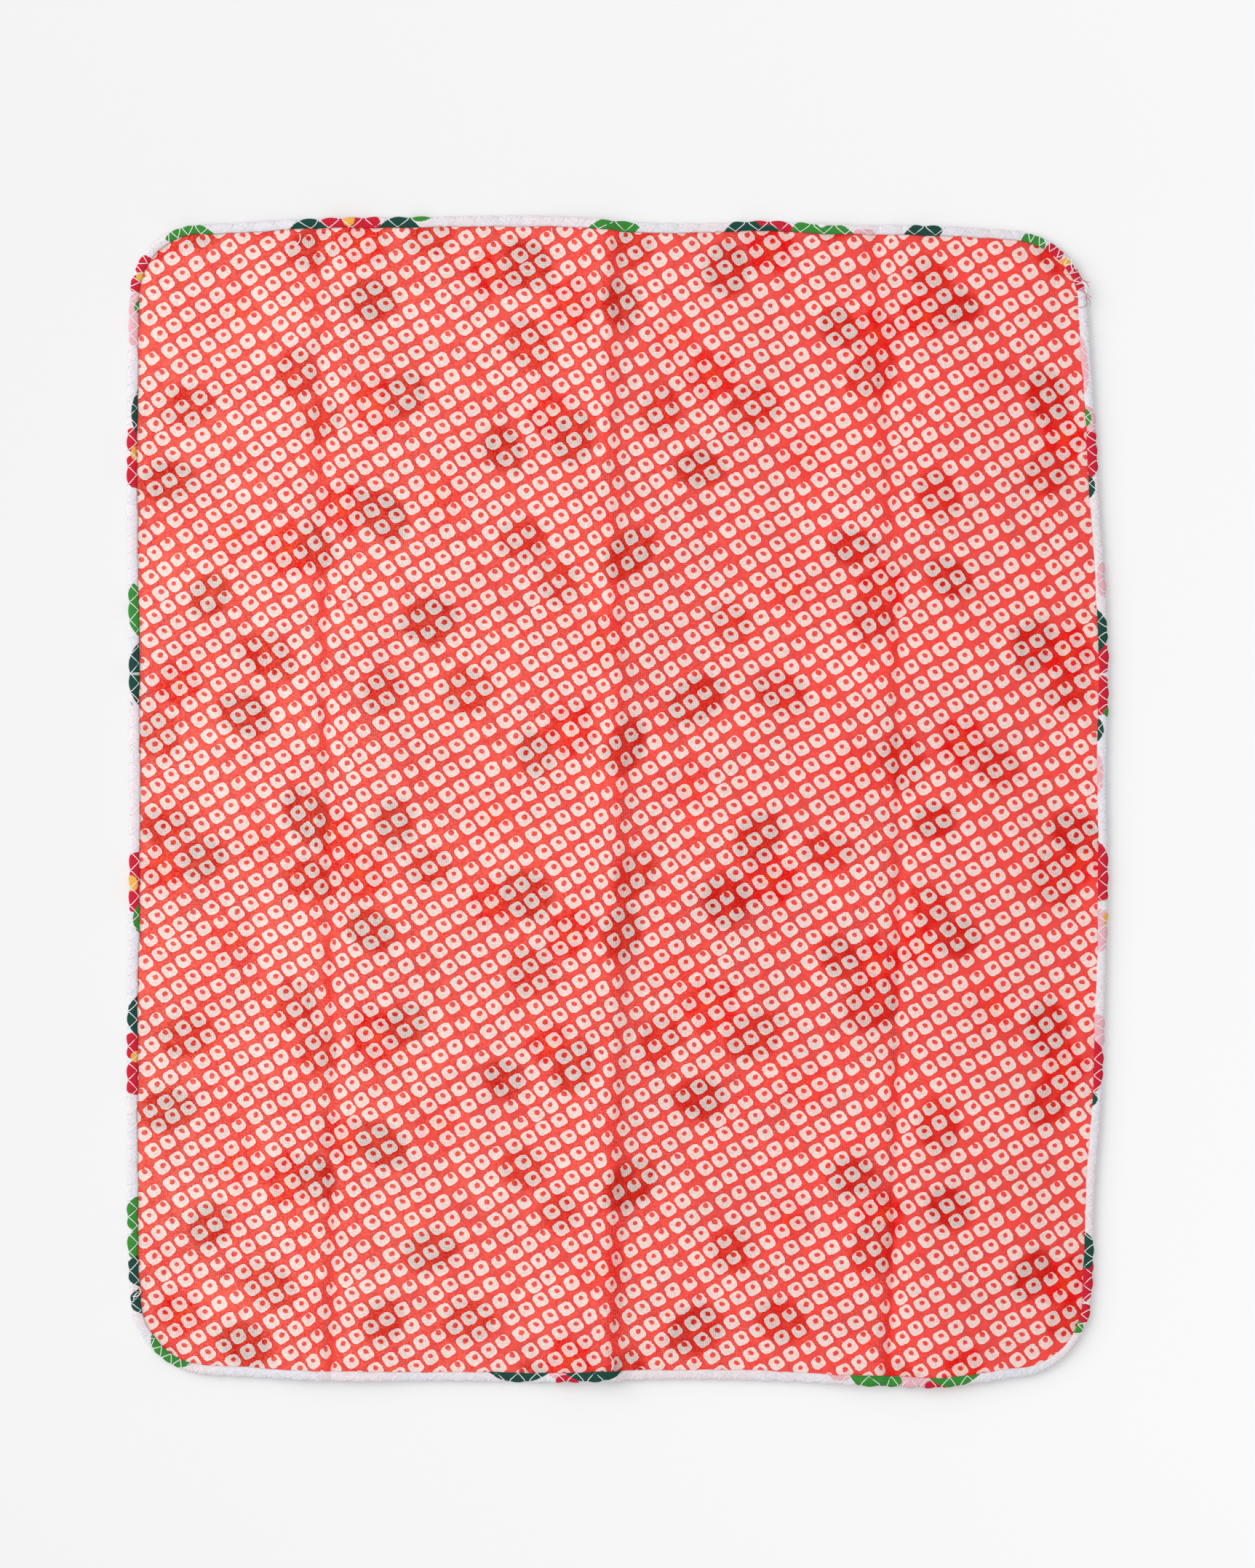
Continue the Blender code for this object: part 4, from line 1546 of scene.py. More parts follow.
@dataclass(frozen=True)
class CamelliaFinish:
    """Pale gauze with the floral print, as on the back and the hem."""

    name: str = "camellia_gauze"
    blur: float = 0.10
    # Painted shade of the weave: a thread is darker where it dips under the crossing one.
    relief: float = 0.16
    uneven_threads: float = 0.22
    patches: Lumps = Lumps(0.5, 3.0, 0.10)
    hollow_shade: float = 0.87
    veil: float = 0.05
    beneath: Colour = (0.80, 0.77, 0.80, 1.0)
    roughness: float = 0.93
    thread_shine: float = 0.12

    def material(self) -> bpy.types.Material:
        """Build the material: the inks over the weave, paler where a thread is high.

        Returns:
            The material.
        """
        graph = Graph(self.name)
        opening, height, tone = WEAVE.threads(graph)
        across, along = graph.uv("threads")
        patches = graph.lumps(graph.joined(across, along), self.patches)
        inks = INKS.colour(graph, self.blur)
        # Painted shade where a thread dips, with uneven tone of the threads and soft patches.
        shade = height * self.relief + tone * self.uneven_threads + patches + self.hollow_shade
        colour = graph.times(inks, graph.grey(shade))
        colour = graph.mixed(opening * self.veil, colour, self.beneath)
        return graph.finish(
            colour, self.roughness - height * self.thread_shine, height - opening,
            depth=0.10, strength=0.4, specular=0.12, sheen=0.04)


@dataclass(frozen=True)
class ThreadFinish:
    """Twisted sewing cotton, or the fibres of a cut edge."""

    name: str
    tint: Colour
    roughness: float = 0.5
    twist: float = 0.45
    plies: float = 2.0
    uneven_twist: float = 0.3
    # Painted shade between the plies, with uneven tone along the thread.
    relief: float = 0.10
    hollow_shade: float = 0.92

    def material(self) -> bpy.types.Material:
        """Build the material: slanting plies along the thread, darker between them.

        Formula: a sine wave of the turns walked along the thread and round it.

        Returns:
            The material.
        """
        graph = Graph(self.name)
        along, around = graph.uv("plies")
        uneven = graph.noise(graph.joined(along, around), 1.4, 2.0)
        turns = along / self.twist + around * self.plies + uneven * self.uneven_twist
        height = (turns * (2.0 * np.pi)).step("SINE") * 0.5 + 0.5
        # Painted shade in the grooves between the plies, with uneven tone.
        shade = graph.grey(height * self.relief + uneven * self.relief + self.hollow_shade)
        return graph.finish(
            graph.times(self.tint, shade), uneven * self.relief + self.roughness, height,
            depth=0.03, strength=0.5, specular=0.5, sheen=0.2)


@dataclass(frozen=True)
class FloorFinish:
    """Matt paper of a pale studio floor."""

    name: str = "studio_floor"
    pale: float = 0.922
    # Painted light: the floor is paler away from the lamp, evening out the lamp's falloff.
    painted_light_across: float = 0.46
    painted_light_along: float = -0.17
    reach: float = 0.16
    tooth_scale: float = 900.0
    tooth_shade: float = 0.008
    tooth_roughness: float = 0.04
    roughness: float = 0.92

    def material(self) -> bpy.types.Material:
        """Build the material: white with a faint tooth, a little paler away from the lamp.

        Returns:
            The material.
        """
        graph = Graph(self.name)
        place = graph.node("TexCoord").outputs["Object"]
        tooth = graph.noise(place, self.tooth_scale, 2.0, "3D")
        sockets = graph.node("SeparateXYZ", place).outputs[:2]
        x, y = (
            Term(graph, socket).step("MAXIMUM", -self.reach).step("MINIMUM", self.reach)
            for socket in sockets)
        # Painted light: paler away from the lamp, to even out its falloff, and a faint paper tooth.
        shade = tooth * self.tooth_shade + x * self.painted_light_across + y * self.painted_light_along + 1.0
        return graph.finish(
            graph.times(grey(self.pale), graph.grey(shade)),
            tooth * self.tooth_roughness + self.roughness, tooth,
            depth=0.02, strength=0.1, specular=0.1)


def made_mesh(name: str, points: Array, faces: list[Array], finish: object) -> Piece:
    """Make a smooth mesh object at the origin and give it its finish.

    Args:
        name: the piece's name.
        points: places in millimetres, measured from the middle of the outline.
        faces: arrays of vertex numbers, one row for each face.
        finish: a finish with a material method.

    Returns:
        The new object, in the scene.
    """
    mesh = bpy.data.meshes.new(name)
    rows = [row for group in faces for row in group.tolist()]
    mesh.from_pydata((points * MM).tolist(), [], rows)
    mesh.materials.append(finish.material())
    mesh.shade_smooth()
    piece = bpy.data.objects.new(name, mesh)
    bpy.context.scene.collection.objects.link(piece)
    return piece


def add_map(mesh: bpy.types.Mesh, name: str, values: Array) -> None:
    """Give the mesh a UV map.

    Args:
        mesh: the mesh.
        name: the map's name.
        values: two numbers for each vertex.
    """
    corners = np.empty(len(mesh.loops), dtype=np.int32)
    mesh.loops.foreach_get("vertex_index", corners)
    layer = mesh.uv_layers.new(name=name)
    layer.data.foreach_set("uv", values[corners].astype(np.float32).ravel())


def add_inks(mesh: bpy.types.Mesh, across: Array, along: Array) -> None:
    """Give the mesh the floral print, one attribute for each ink.

    Args:
        mesh: the mesh.
        across, along: the flat places of its vertices.
    """
    for tone, distance in PRINT.inks(across, along).items():
        layer = mesh.attributes.new(tone.value, "FLOAT", "POINT")
        layer.data.foreach_set("value", distance.astype(np.float32))


def grid_faces(count_across: int, count_along: int) -> Array:
    """Return the faces of a grid, counterclockwise from above.

    Args:
        count_across: how many points each row has.
        count_along: how many rows there are.

    Returns:
        Four vertex numbers for each face.
    """
    rows = np.arange(count_along - 1)[:, None] * count_across
    corner = (rows + np.arange(count_across - 1)).ravel()
    return np.column_stack((corner, corner + 1, corner + count_across + 1, corner + count_across))


@dataclass(frozen=True)
class RingGrid:
    """A grid over the rounded outline whose outer lines turn into rings at the corners."""

    insets: tuple[float, ...]
    step: float
    fold_step: float
    fold_reach: float = 5.0
    samples: int = 8001

    def _lines(self, reach: float, folds: tuple[float, ...]) -> Array:
        """Return lines between the corners' centres, closer together at the folds.

        Formula: the lines lie at equal steps of the running sum of one over the
        spacing, and the spacing dips to the fold step beside each fold.

        Args:
            reach: distance of the first and the last line from the middle.
            folds: where the folds lie.

        Returns:
            The places of the lines.
        """
        fine = np.linspace(-reach, reach, self.samples)
        spacing = np.full(fine.shape, self.step)
        for fold in folds:
            near = bell((fine - fold) / self.fold_reach)
            spacing = np.minimum(spacing, self.step + (self.fold_step - self.step) * near)
        walked = np.concatenate(([0.0], np.cumsum(0.5 * (1 / spacing[1:] + 1 / spacing[:-1]))))
        walked *= fine[1] - fine[0]
        count = int(round(walked[-1]))
        return np.interp(np.linspace(0.0, walked[-1], count + 1), walked, fine)

    def _axis(self, lines: Array) -> tuple[Array, Array, Array]:
        """Add the rings on both sides of one axis to its lines.

        Args:
            lines: the places of the lines between the corners' centres.

        Returns:
            The side, the ring number and the place of every line.
        """
        rings = len(self.insets) - 1
        inner = np.zeros(len(lines))
        side = np.concatenate((-np.ones(rings), inner, np.ones(rings)))
        ring = np.concatenate((np.arange(rings, 0, -1), inner, np.arange(1, rings + 1)))
        return side, ring, np.pad(lines, rings, mode="edge")

    def lines(self) -> Pair:
        """Return the lines of both axes, inside the corners' centres.

        Returns:
            The places of the lines across and of the lines along.
        """
        folds_along = (FOLDS.lower_fold, FOLDS.upper_fold)
        return (
            self._lines(FOLDS.reach_across, FOLDS.upright_folds),
            self._lines(FOLDS.reach_along, folds_along),
        )

    def flat(self) -> tuple[int, int, Array, Array]:
        """Lay the grid out flat.

        Formula: away from the corners a ring is a straight line at its inset. In a
        corner the higher ring number gives the radius and the ratio of the two
        ring numbers gives the angle.

        Returns:
            How many points a row has, how many rows there are, and the flat places.
        """
        lines_across, lines_along = self.lines()
        side_u, ring_u, place_u = self._axis(lines_across)
        side_v, ring_v, place_v = self._axis(lines_along)
        count_across, count_along = len(side_u), len(side_v)
        side_u, ring_u, place_u = (np.tile(a, count_along) for a in (side_u, ring_u, place_u))
        side_v, ring_v, place_v = (np.repeat(a, count_across) for a in (side_v, ring_v, place_v))
        outer = np.maximum(ring_u, ring_v).astype(int)
        inner = np.minimum(ring_u, ring_v)
        turn = 0.25 * np.pi * inner / np.maximum(outer, 1)
        radius = FOLDS.corner_radius - np.array(self.insets)[outer]
        far, near = radius * np.cos(turn), radius * np.sin(turn)
        across = place_u + side_u * np.where(ring_u >= ring_v, far, near)
        along = place_v + side_v * np.where(ring_v >= ring_u, far, near)
        return count_across, count_along, across, along

    def rim(self) -> Pair:
        """Walk round the grid's outermost points.

        Returns:
            Their vertex numbers and the distance walked to each, counterclockwise from
            the middle of the bottom left corner.
        """
        lines_across, lines_along = self.lines()
        rings = len(self.insets) - 1
        columns, rows = len(lines_across) + 2 * rings, len(lines_along) + 2 * rings
        stops = FOLDS.round_the_edge()[0]
        half_arc = 0.5 * (stops[2] - stops[1])
        corner = half_arc * np.arange(rings, 0, -1) / rings
        walked = []
        for start, lines in zip(stops[:8:2], (lines_across, lines_along, lines_across, lines_along)):
            straight = start + lines - lines[0]
            walked.append(np.concatenate((start - corner, straight, straight[-1] + corner[:0:-1])))
        numbers = np.arange(columns * rows).reshape(rows, columns)
        order = np.concatenate((
            numbers[0, :-1], numbers[:-1, -1], numbers[-1, :0:-1], numbers[:0:-1, 0]))
        return order, np.concatenate(walked)


class StitchZone(NamedTuple):
    """Stitching along one stretch of the edge: from where, how far apart, how open."""

    start: float
    pitch: float
    gap: float


@dataclass(frozen=True)
class Overcast:
    """White thread sewn round and round over the hem, all the way round the cloth."""

    thread: float = 0.24
    sides: int = 6
    seed: int = 11
    jitter: float = 0.10
    gap_change: float = 0.3
    samples: int = 20001
    inner: float = 2.40
    halfway: float = 1.5
    lead: float = 0.6
    clear: float = 0.06
    tuck: float = 0.12
    bow: float = 0.65
    under: float = 2.1
    under_clear: float = 0.02
    ease: float = 3.0
    full_puff: float = 3.2
    zones: tuple[StitchZone, ...] = table(
        StitchZone,
        (0.0, 5.3, 1.2), (214.0, 3.1, 1.0), (242.3, 4.6, 1.1),
        (504.3, 3.0, 1.2), (532.5, 5.8, 0.9), (746.5, 3.1, 0.8),
        (774.8, 4.5, 0.25), (1036.8, 3.1, 0.8), (1065.1, 5.3, 1.2),
    )

    def stitches(self) -> Pair:
        """Space the stitches out round the edge.

        Formula: stitches lie at equal steps of the running sum of one over the pitch,
        each moved by a seeded random share of the pitch.

        Returns:
            The distance walked to each stitch's inner point, and the gap after it.
        """
        length = FOLDS.edge_length
        fine = np.linspace(0.0, length, self.samples)
        starts, pitches, gaps = np.array(self.zones).T
        knots = np.sort(np.concatenate((
            starts[1:-1] - self.ease, starts[1:-1] + self.ease, [0.0, length])))
        zone = np.clip(np.searchsorted(starts, knots, side="right") - 1, 0, len(starts) - 1)
        pitch, gap = (np.interp(fine, knots, row[zone]) for row in (pitches, gaps))
        walked = np.concatenate(([0.0], np.cumsum((fine[1] - fine[0]) / pitch[1:])))
        count = int(round(walked[-1]))
        rng = np.random.default_rng(self.seed)
        shares = np.arange(count) + 0.5 + self.jitter * rng.uniform(-1.0, 1.0, count)
        at = np.interp(shares * walked[-1] / count, walked, fine)
        change = rng.uniform(1.0 - self.gap_change, 1.0 + self.gap_change, count)
        return at, np.interp(at, fine, gap) * change

    def wraps(self) -> Pair:
        """Place the wraps, half a gap to each side of the middle between two stitches.

        Returns:
            The distance walked to the wrap before each stitch and to the one after it.
        """
        at, gaps = self.stitches()
        length = FOLDS.edge_length
        following = np.concatenate((at[1:], [at[0] + length]))
        middle = 0.5 * (at + following)
        after = middle - 0.5 * gaps
        before = np.roll(middle + 0.5 * gaps, 1)
        before[0] -= length
        return before, after

    def puff(self, walked: Array) -> Array:
        """Tell how far the cloth swells between the wraps.

        Formula: four times the product of the distances to the wraps on both sides
        over their squared sum, less where the wraps are close together.

        Args:
            walked: distances walked round the edge.

        Returns:
            0 at a wrap, up to 1 between two wraps that are far apart.
        """
        length = FOLDS.edge_length
        wraps = np.sort(np.mod(np.concatenate(self.wraps()), length))
        wraps = np.concatenate((wraps[-2:] - length, wraps, wraps[:2] + length))
        walked = np.mod(walked, length)
        span = np.searchsorted(wraps, walked)
        back, ahead = walked - wraps[span - 1], wraps[span] - walked
        width = np.maximum(back + ahead, 1e-6)
        return 4.0 * back * ahead / width ** 2 * np.clip(width / self.full_puff, 0.0, 1.0)

    def _stitch(self, hem: "HemBand") -> Array:
        """List one stitch's places: over the hem to its inner point and back, then under.

        Formula: each way in is listed once, and the way out is its mirror image.

        Args:
            hem: the band that the thread lies on.

        Returns:
            Rows of a place's shares of the wrap before, the inner point, the wrap after
            and the next wrap, then its inset and rise.
        """
        low = 0.5 * self.thread + self.under_clear
        top = hem.top_rise(np.array([self.lead, self.halfway, self.inner])) + self.clear
        over = hem.bend_radius + hem.rise
        inwards = (
            (1.0, 0.0, -0.06, over), (1.0, 0.0, 0.10, over + self.bow),
            (0.93, 0.07, self.lead, top[0]), (0.5, 0.5, self.halfway, top[1]),
            (0.06, 0.94, self.inner - 0.1, top[2] + 0.02),
        )
        beneath = ((1.0, 0.0, 0.10, over - self.bow), (0.94, 0.06, 0.7, low))
        return np.array((
            *((near, far, 0.0, 0.0, inset, rise) for near, far, inset, rise in inwards),
            (0.0, 1.0, 0.0, 0.0, self.inner, top[2] + 0.02 - self.tuck),
            *((0.0, far, near, 0.0, inset, rise) for near, far, inset, rise in inwards[::-1]),
            *((0.0, 0.0, near, far, inset, rise) for near, far, inset, rise in beneath),
            (0.0, 0.0, 0.5, 0.5, self.under, low + 0.05),
            *((0.0, 0.0, far, near, inset, rise) for near, far, inset, rise in beneath[::-1]),
        ))

    def build(self, hem: "HemBand") -> Piece:
        """Build the thread as one closed tube that follows every stitch.

        Formula: the walked distance of each place is the sum of its stitch's four
        anchors, each times the place's share of it.

        Args:
            hem: the band that the thread lies on.

        Returns:
            The thread.
        """
        before, after = self.wraps()
        at, _ = self.stitches()
        following = np.concatenate((before[1:], [before[0] + FOLDS.edge_length]))
        stitch = self._stitch(hem)
        walked = np.stack((before, at, after, following), axis=1) @ stitch[:, :4].T
        inset, rise = (np.broadcast_to(row, walked.shape).ravel() for row in stitch[:, 4:].T)
        across, along = FOLDS.at_edge(walked.ravel(), inset)
        centres = FOLDS.placed(across, along, rise) - CENTRE
        finish = ThreadFinish("sewing_thread", THREAD_WHITE)
        return tube("overcast_thread", [centres], self.thread, self.sides, finish, closed=True)


def unit(ways: Array) -> Array:
    """Return rows of directions, each made one long."""
    return ways / np.maximum(np.linalg.norm(ways, axis=1, keepdims=True), 1e-9)


def tube_rings(centres: Array, diameter: Array, sides: int, closed: bool) -> Array:
    """Return rings of points round a path.

    Formula: at each place the ring lies in the plane square to the path, turned from a
    sideways direction that is the path's heading crossed with the upright, or with a
    level direction where the path is steep.

    Args:
        centres: the path's places, one row each.
        diameter: the thread's thickness at each place.
        sides: how many points each ring has.
        closed: whether the path ends where it begins.

    Returns:
        The points, as rings by sides by three.
    """
    if closed:
        heading = np.roll(centres, -1, axis=0) - np.roll(centres, 1, axis=0)
    else:
        heading = np.gradient(centres, axis=0)
    heading = unit(heading)
    steep = np.abs(heading[:, 2:3]) > STEEP
    upright = np.where(steep, np.array([[0.6, 0.8, 0.0]]), np.array([[0.0, 0.0, 1.0]]))
    sideways = unit(np.cross(heading, upright))
    lift = np.cross(sideways, heading)
    turn = np.linspace(0.0, 2.0 * np.pi, sides, endpoint=False)[None, :, None]
    ring = sideways[:, None] * np.cos(turn) + lift[:, None] * np.sin(turn)
    return centres[:, None] + 0.5 * diameter[:, None, None] * ring


def tube(
    name: str, paths: list[Array], diameter: float, sides: int, finish: object,
    closed: bool = False,
) -> Piece:
    """Build threads along paths, with ends that taper to a closed point.

    Args:
        name: the piece's name.
        paths: one array of places for each thread.
        diameter: thickness of the threads.
        sides: how many faces go round.
        finish: the thread's finish.
        closed: whether each path ends where it begins.

    Returns:
        The object, with a map of distance along and share around.
    """
    points, faces, plies, first = [], [], [], 0
    for centres in paths:
        count = len(centres)
        thick = np.full(count, diameter)
        if not closed:
            thick[[0, -1]] *= TAPER
        rings = tube_rings(centres, thick, sides, closed)
        steps = np.linalg.norm(np.diff(centres, axis=0), axis=1)
        walked = np.concatenate(([0.0], np.cumsum(steps)))
        around = np.tile(np.arange(sides) / sides, count)
        plies.append(np.column_stack((np.repeat(walked, sides), around)))
        points.append(rings.reshape(-1, 3))
        spans = count if closed else count - 1
        ring, side = np.arange(spans)[:, None], np.arange(sides)[None, :]
        following, beside = (ring + 1) % count, (side + 1) % sides
        corners = ((ring, side), (ring, beside), (following, beside), (following, side))
        faces.append(np.stack([(r * sides + s + first).ravel() for r, s in corners], axis=1))
        if not closed:
            faces += [side[:, ::-1] + first, side + first + (count - 1) * sides]
        first += count * sides
    piece = made_mesh(name, np.concatenate(points), faces, finish)
    add_map(piece.data, "plies", np.concatenate(plies))
    return piece


@dataclass(frozen=True)
class HemBand:
    """The turned edge of the back cloth, in section: flat, round the bend, and the lip.

    Each wave of the lip's edge has its share, its length and its phase.
    """

    gauze: float = 0.30
    rise: float = 0.45
    bend_radius: float = 0.80
    bend_steps: int = 6
    width: float = 2.45
    width_change: float = 0.22
    waves: tuple[tuple[float, ...], ...] = ((0.5, 34.6, 0.7), (0.3, 13.3, 2.9), (0.2, 7.1, 4.4))
    lip_drop: float = 0.30
    drop_power: float = 1.5
    swell: float = 0.42
    swell_power: float = 0.7
    pinch: float = 0.14
    plump: float = 0.16
    bend_lift: float = 0.4
    edge_lift: float = 0.1
    bend_wander: float = 0.01
    least_arch: float = 0.05
    flat_insets: tuple[float, ...] = (6.3, 5.2, 4.2, 3.3, 2.4, 1.6)
    lip_parts: tuple[float, ...] = (0.36, 0.72, 1.0)

    @property
    def bend_centre(self) -> float:
        """Inset of the centre of the bend."""
        return self.bend_radius + 0.5 * self.gauze

    def section(self) -> tuple[Array, ...]:
        """Lay out the section's rings, from the inside of the cloth round to the lip.

        Returns:
            Inset, rise, unrolled inset, how far a ring swells outwards, and how far
            a ring lies along the lip, from 0 to 1.
        """
        centre = self.bend_centre
        angle = np.linspace(-0.5 * np.pi, 0.5 * np.pi, self.bend_steps + 1)
        bend_inset = centre - self.bend_radius * np.cos(angle)
        bend_rise = self.rise + self.bend_radius * (1.0 + np.sin(angle))
        unrolled = centre - self.bend_radius * (angle + 0.5 * np.pi)
        parts = np.array(self.lip_parts)
        lip_inset = centre + parts * (self.width - centre)
        lip_rise = self.rise + 2.0 * self.bend_radius - self.lip_drop * parts ** self.drop_power
        lip_unrolled = unrolled[-1] - (lip_inset - centre)
        flat = np.array(self.flat_insets)
        zeros = np.zeros(len(flat))
        return (
            np.concatenate((flat, bend_inset, lip_inset)),
            np.concatenate((zeros + self.rise, bend_rise, lip_rise)),
            np.concatenate((flat, unrolled, lip_unrolled)),
            np.concatenate((zeros, np.cos(angle) ** self.swell_power, 0.0 * parts)),
            np.concatenate((zeros, np.clip(np.sin(angle), 0.0, 1.0) * self.bend_wander, parts)),
        )

    def top_rise(self, inset: Array) -> Array:
        """Return the rise of the hem's upper face.

        Formula: a circle round the bend, then the lip's level, which drops as a power
        of the share of the way to its edge.

        Args:
            inset: distances inwards from the edge.

        Returns:
            The rise at each inset.
        """
        centre = self.bend_centre
        part = np.clip((inset - centre) / (self.width - centre), 0.0, 1.0)
        arch = 1.0 - ((centre - inset) / self.bend_radius) ** 2
        bend = np.sqrt(np.clip(arch, self.least_arch, 1.0))
        level = self.rise + self.bend_radius * (1.0 + np.where(inset < centre, bend, 1.0))
        return level - self.lip_drop * part ** self.drop_power + 0.5 * self.gauze

    def points(self, walked: Array, stitching: Overcast) -> tuple[Array, Array, Array]:
        """Carry the section round the edge, ring by ring.

        Formula: between the wraps of the thread the bend swells outwards and the lip
        upwards, and the lip's edge wanders as a sum of sine waves.

        Args:
            walked: distances walked round the edge.
            stitching: the thread, whose wraps pinch the band.

        Returns:
            The points of the lying cloth, and their unrolled flat places.
        """
        inset, rise, unrolled, outward, lip = (a[:, None] for a in self.section())
        puff = stitching.puff(walked)[None, :]
        wander = sum(
            share * np.sin(2.0 * np.pi * walked / length + phase)
            for share, length, phase in self.waves)[None, :]
        moved = inset + (self.pinch - self.swell * puff) * outward \
            + self.width_change * wander * lip
        lift = outward * self.bend_lift + 4.0 * lip * (1.0 - lip) + self.edge_lift * lip
        lifted = rise + self.plump * puff * lift
        walked, moved, lifted, unrolled = (
            rows.ravel() for rows in np.broadcast_arrays(walked, moved, lifted, unrolled))
        points = FOLDS.placed(*FOLDS.at_edge(walked, moved), lifted)
        return points, *FOLDS.at_edge(walked, unrolled)


@dataclass(frozen=True)
class FrontCloth:
    """The red gauze on top, whose edge is tucked under the hem."""

    name: str = "front_gauze"
    gauze: float = 0.30
    rise: float = 1.45
    flat_size: tuple[float, float] = (0.248, 0.295)
    grid: RingGrid = field(default_factory=lambda: RingGrid(
        (18.0, 16.2, 14.4, 12.6, 10.8, 9.1, 7.4, 5.8, 4.2, 2.7, 1.2), 1.62, 0.8))

    def build(self) -> Piece:
        """Build the sheet on the pressed folds and give it its thickness.

        Returns:
            The sheet.
        """
        count_across, count_along, across, along = self.grid.flat()
        points = FOLDS.placed(across, along, np.full(across.shape, self.rise))
        piece = made_mesh(
            self.name, points - CENTRE, [grid_faces(count_across, count_along)], KanokoFinish())
        add_map(piece.data, "lattice", LATTICE.coordinates(points[:, 0], points[:, 1]))
        add_map(piece.data, "threads", np.column_stack((across, along)))
        add_inks(piece.data, across, along)
        thicken(piece, self.gauze)
        return piece


@dataclass(frozen=True)
class BackCloth:
    """The floral gauze beneath, with its edge turned up round the front cloth."""

    name: str = "back_gauze"
    flat_size: tuple[float, float] = (0.259, 0.306)
    band: HemBand = field(default_factory=HemBand)
    stitching: Overcast = field(default_factory=Overcast)
    grid: RingGrid = field(default_factory=lambda: RingGrid(
        (18.0, 15.9, 13.8, 11.7, 9.6, 7.5), 2.1, 1.1))

    def build(self) -> Piece:
        """Build the middle as a grid, the edge as finer rings, and the row between them.

        Returns:
            The sheet.
        """
        count_across, count_along, across, along = self.grid.flat()
        middle = FOLDS.placed(across, along, np.full(across.shape, self.band.rise))
        rim, walked = self.grid.rim()
        closed = np.concatenate((walked, [walked[0] + FOLDS.edge_length]))
        fine = np.interp(np.arange(3 * len(rim)) / 3.0, np.arange(len(closed)), closed)
        edge, edge_across, edge_along = self.band.points(fine, self.stitching)
        first, around = len(middle), len(fine)
        faces = [grid_faces(count_across, count_along), *self._joint(rim, first, around)]
        for ring in range(len(self.band.section()[0]) - 1):
            faces.append(self._ring(first + ring * around, around))
        points = np.concatenate((middle, edge)) - CENTRE
        piece = made_mesh(self.name, points, faces, CamelliaFinish())
        across = np.concatenate((across, edge_across))
        along = np.concatenate((along, edge_along))
        add_map(piece.data, "threads", np.column_stack((across, along)))
        add_inks(piece.data, across, along)
        thicken(piece, self.band.gauze)
        return piece

    @staticmethod
    def _ring(first: int, around: int) -> Array:
        """Return the faces between one ring and the next one.

        Args:
            first: the vertex number of the ring's first point.
            around: how many points each ring has.

        Returns:
            Four vertex numbers for each face.
        """
        here = np.arange(around)
        ahead = (here + 1) % around
        return np.column_stack((here, here + around, ahead + around, ahead)) + first

    @staticmethod
    def _joint(rim: Array, first: int, around: int) -> list[Array]:
        """Return the triangles between the grid's rim and the three times finer ring.

        Args:
            rim: the vertex numbers of the grid's rim.
            first: the vertex number of the finer ring's first point.
            around: how many points the finer ring has.

        Returns:
            Four arrays with three vertex numbers for each triangle.
        """
        near, beside = rim, np.roll(rim, -1)
        far = [first + (3 * np.arange(len(rim)) + part) % around for part in range(4)]
        triangles = (
            (near, far[0], far[1]), (near, far[1], far[2]), (near, far[2], beside),
            (beside, far[2], far[3]))
        return [np.column_stack(corners) for corners in triangles]


def thicken(piece: Piece, thickness: float) -> None:
    """Give a sheet its thickness, half to each side.

    Args:
        piece: the sheet.
        thickness: its thickness in millimetres.
    """
    solid = piece.modifiers.new("gauze", "SOLIDIFY")
    solid.thickness = thickness * MM
    solid.offset = 0.0


class Wisp(NamedTuple):
    """A loose end of thread or fibre: where it starts and ends in the lying cloth."""

    x: float
    y: float
    end_x: float
    end_y: float
    bend: float
    lift: float


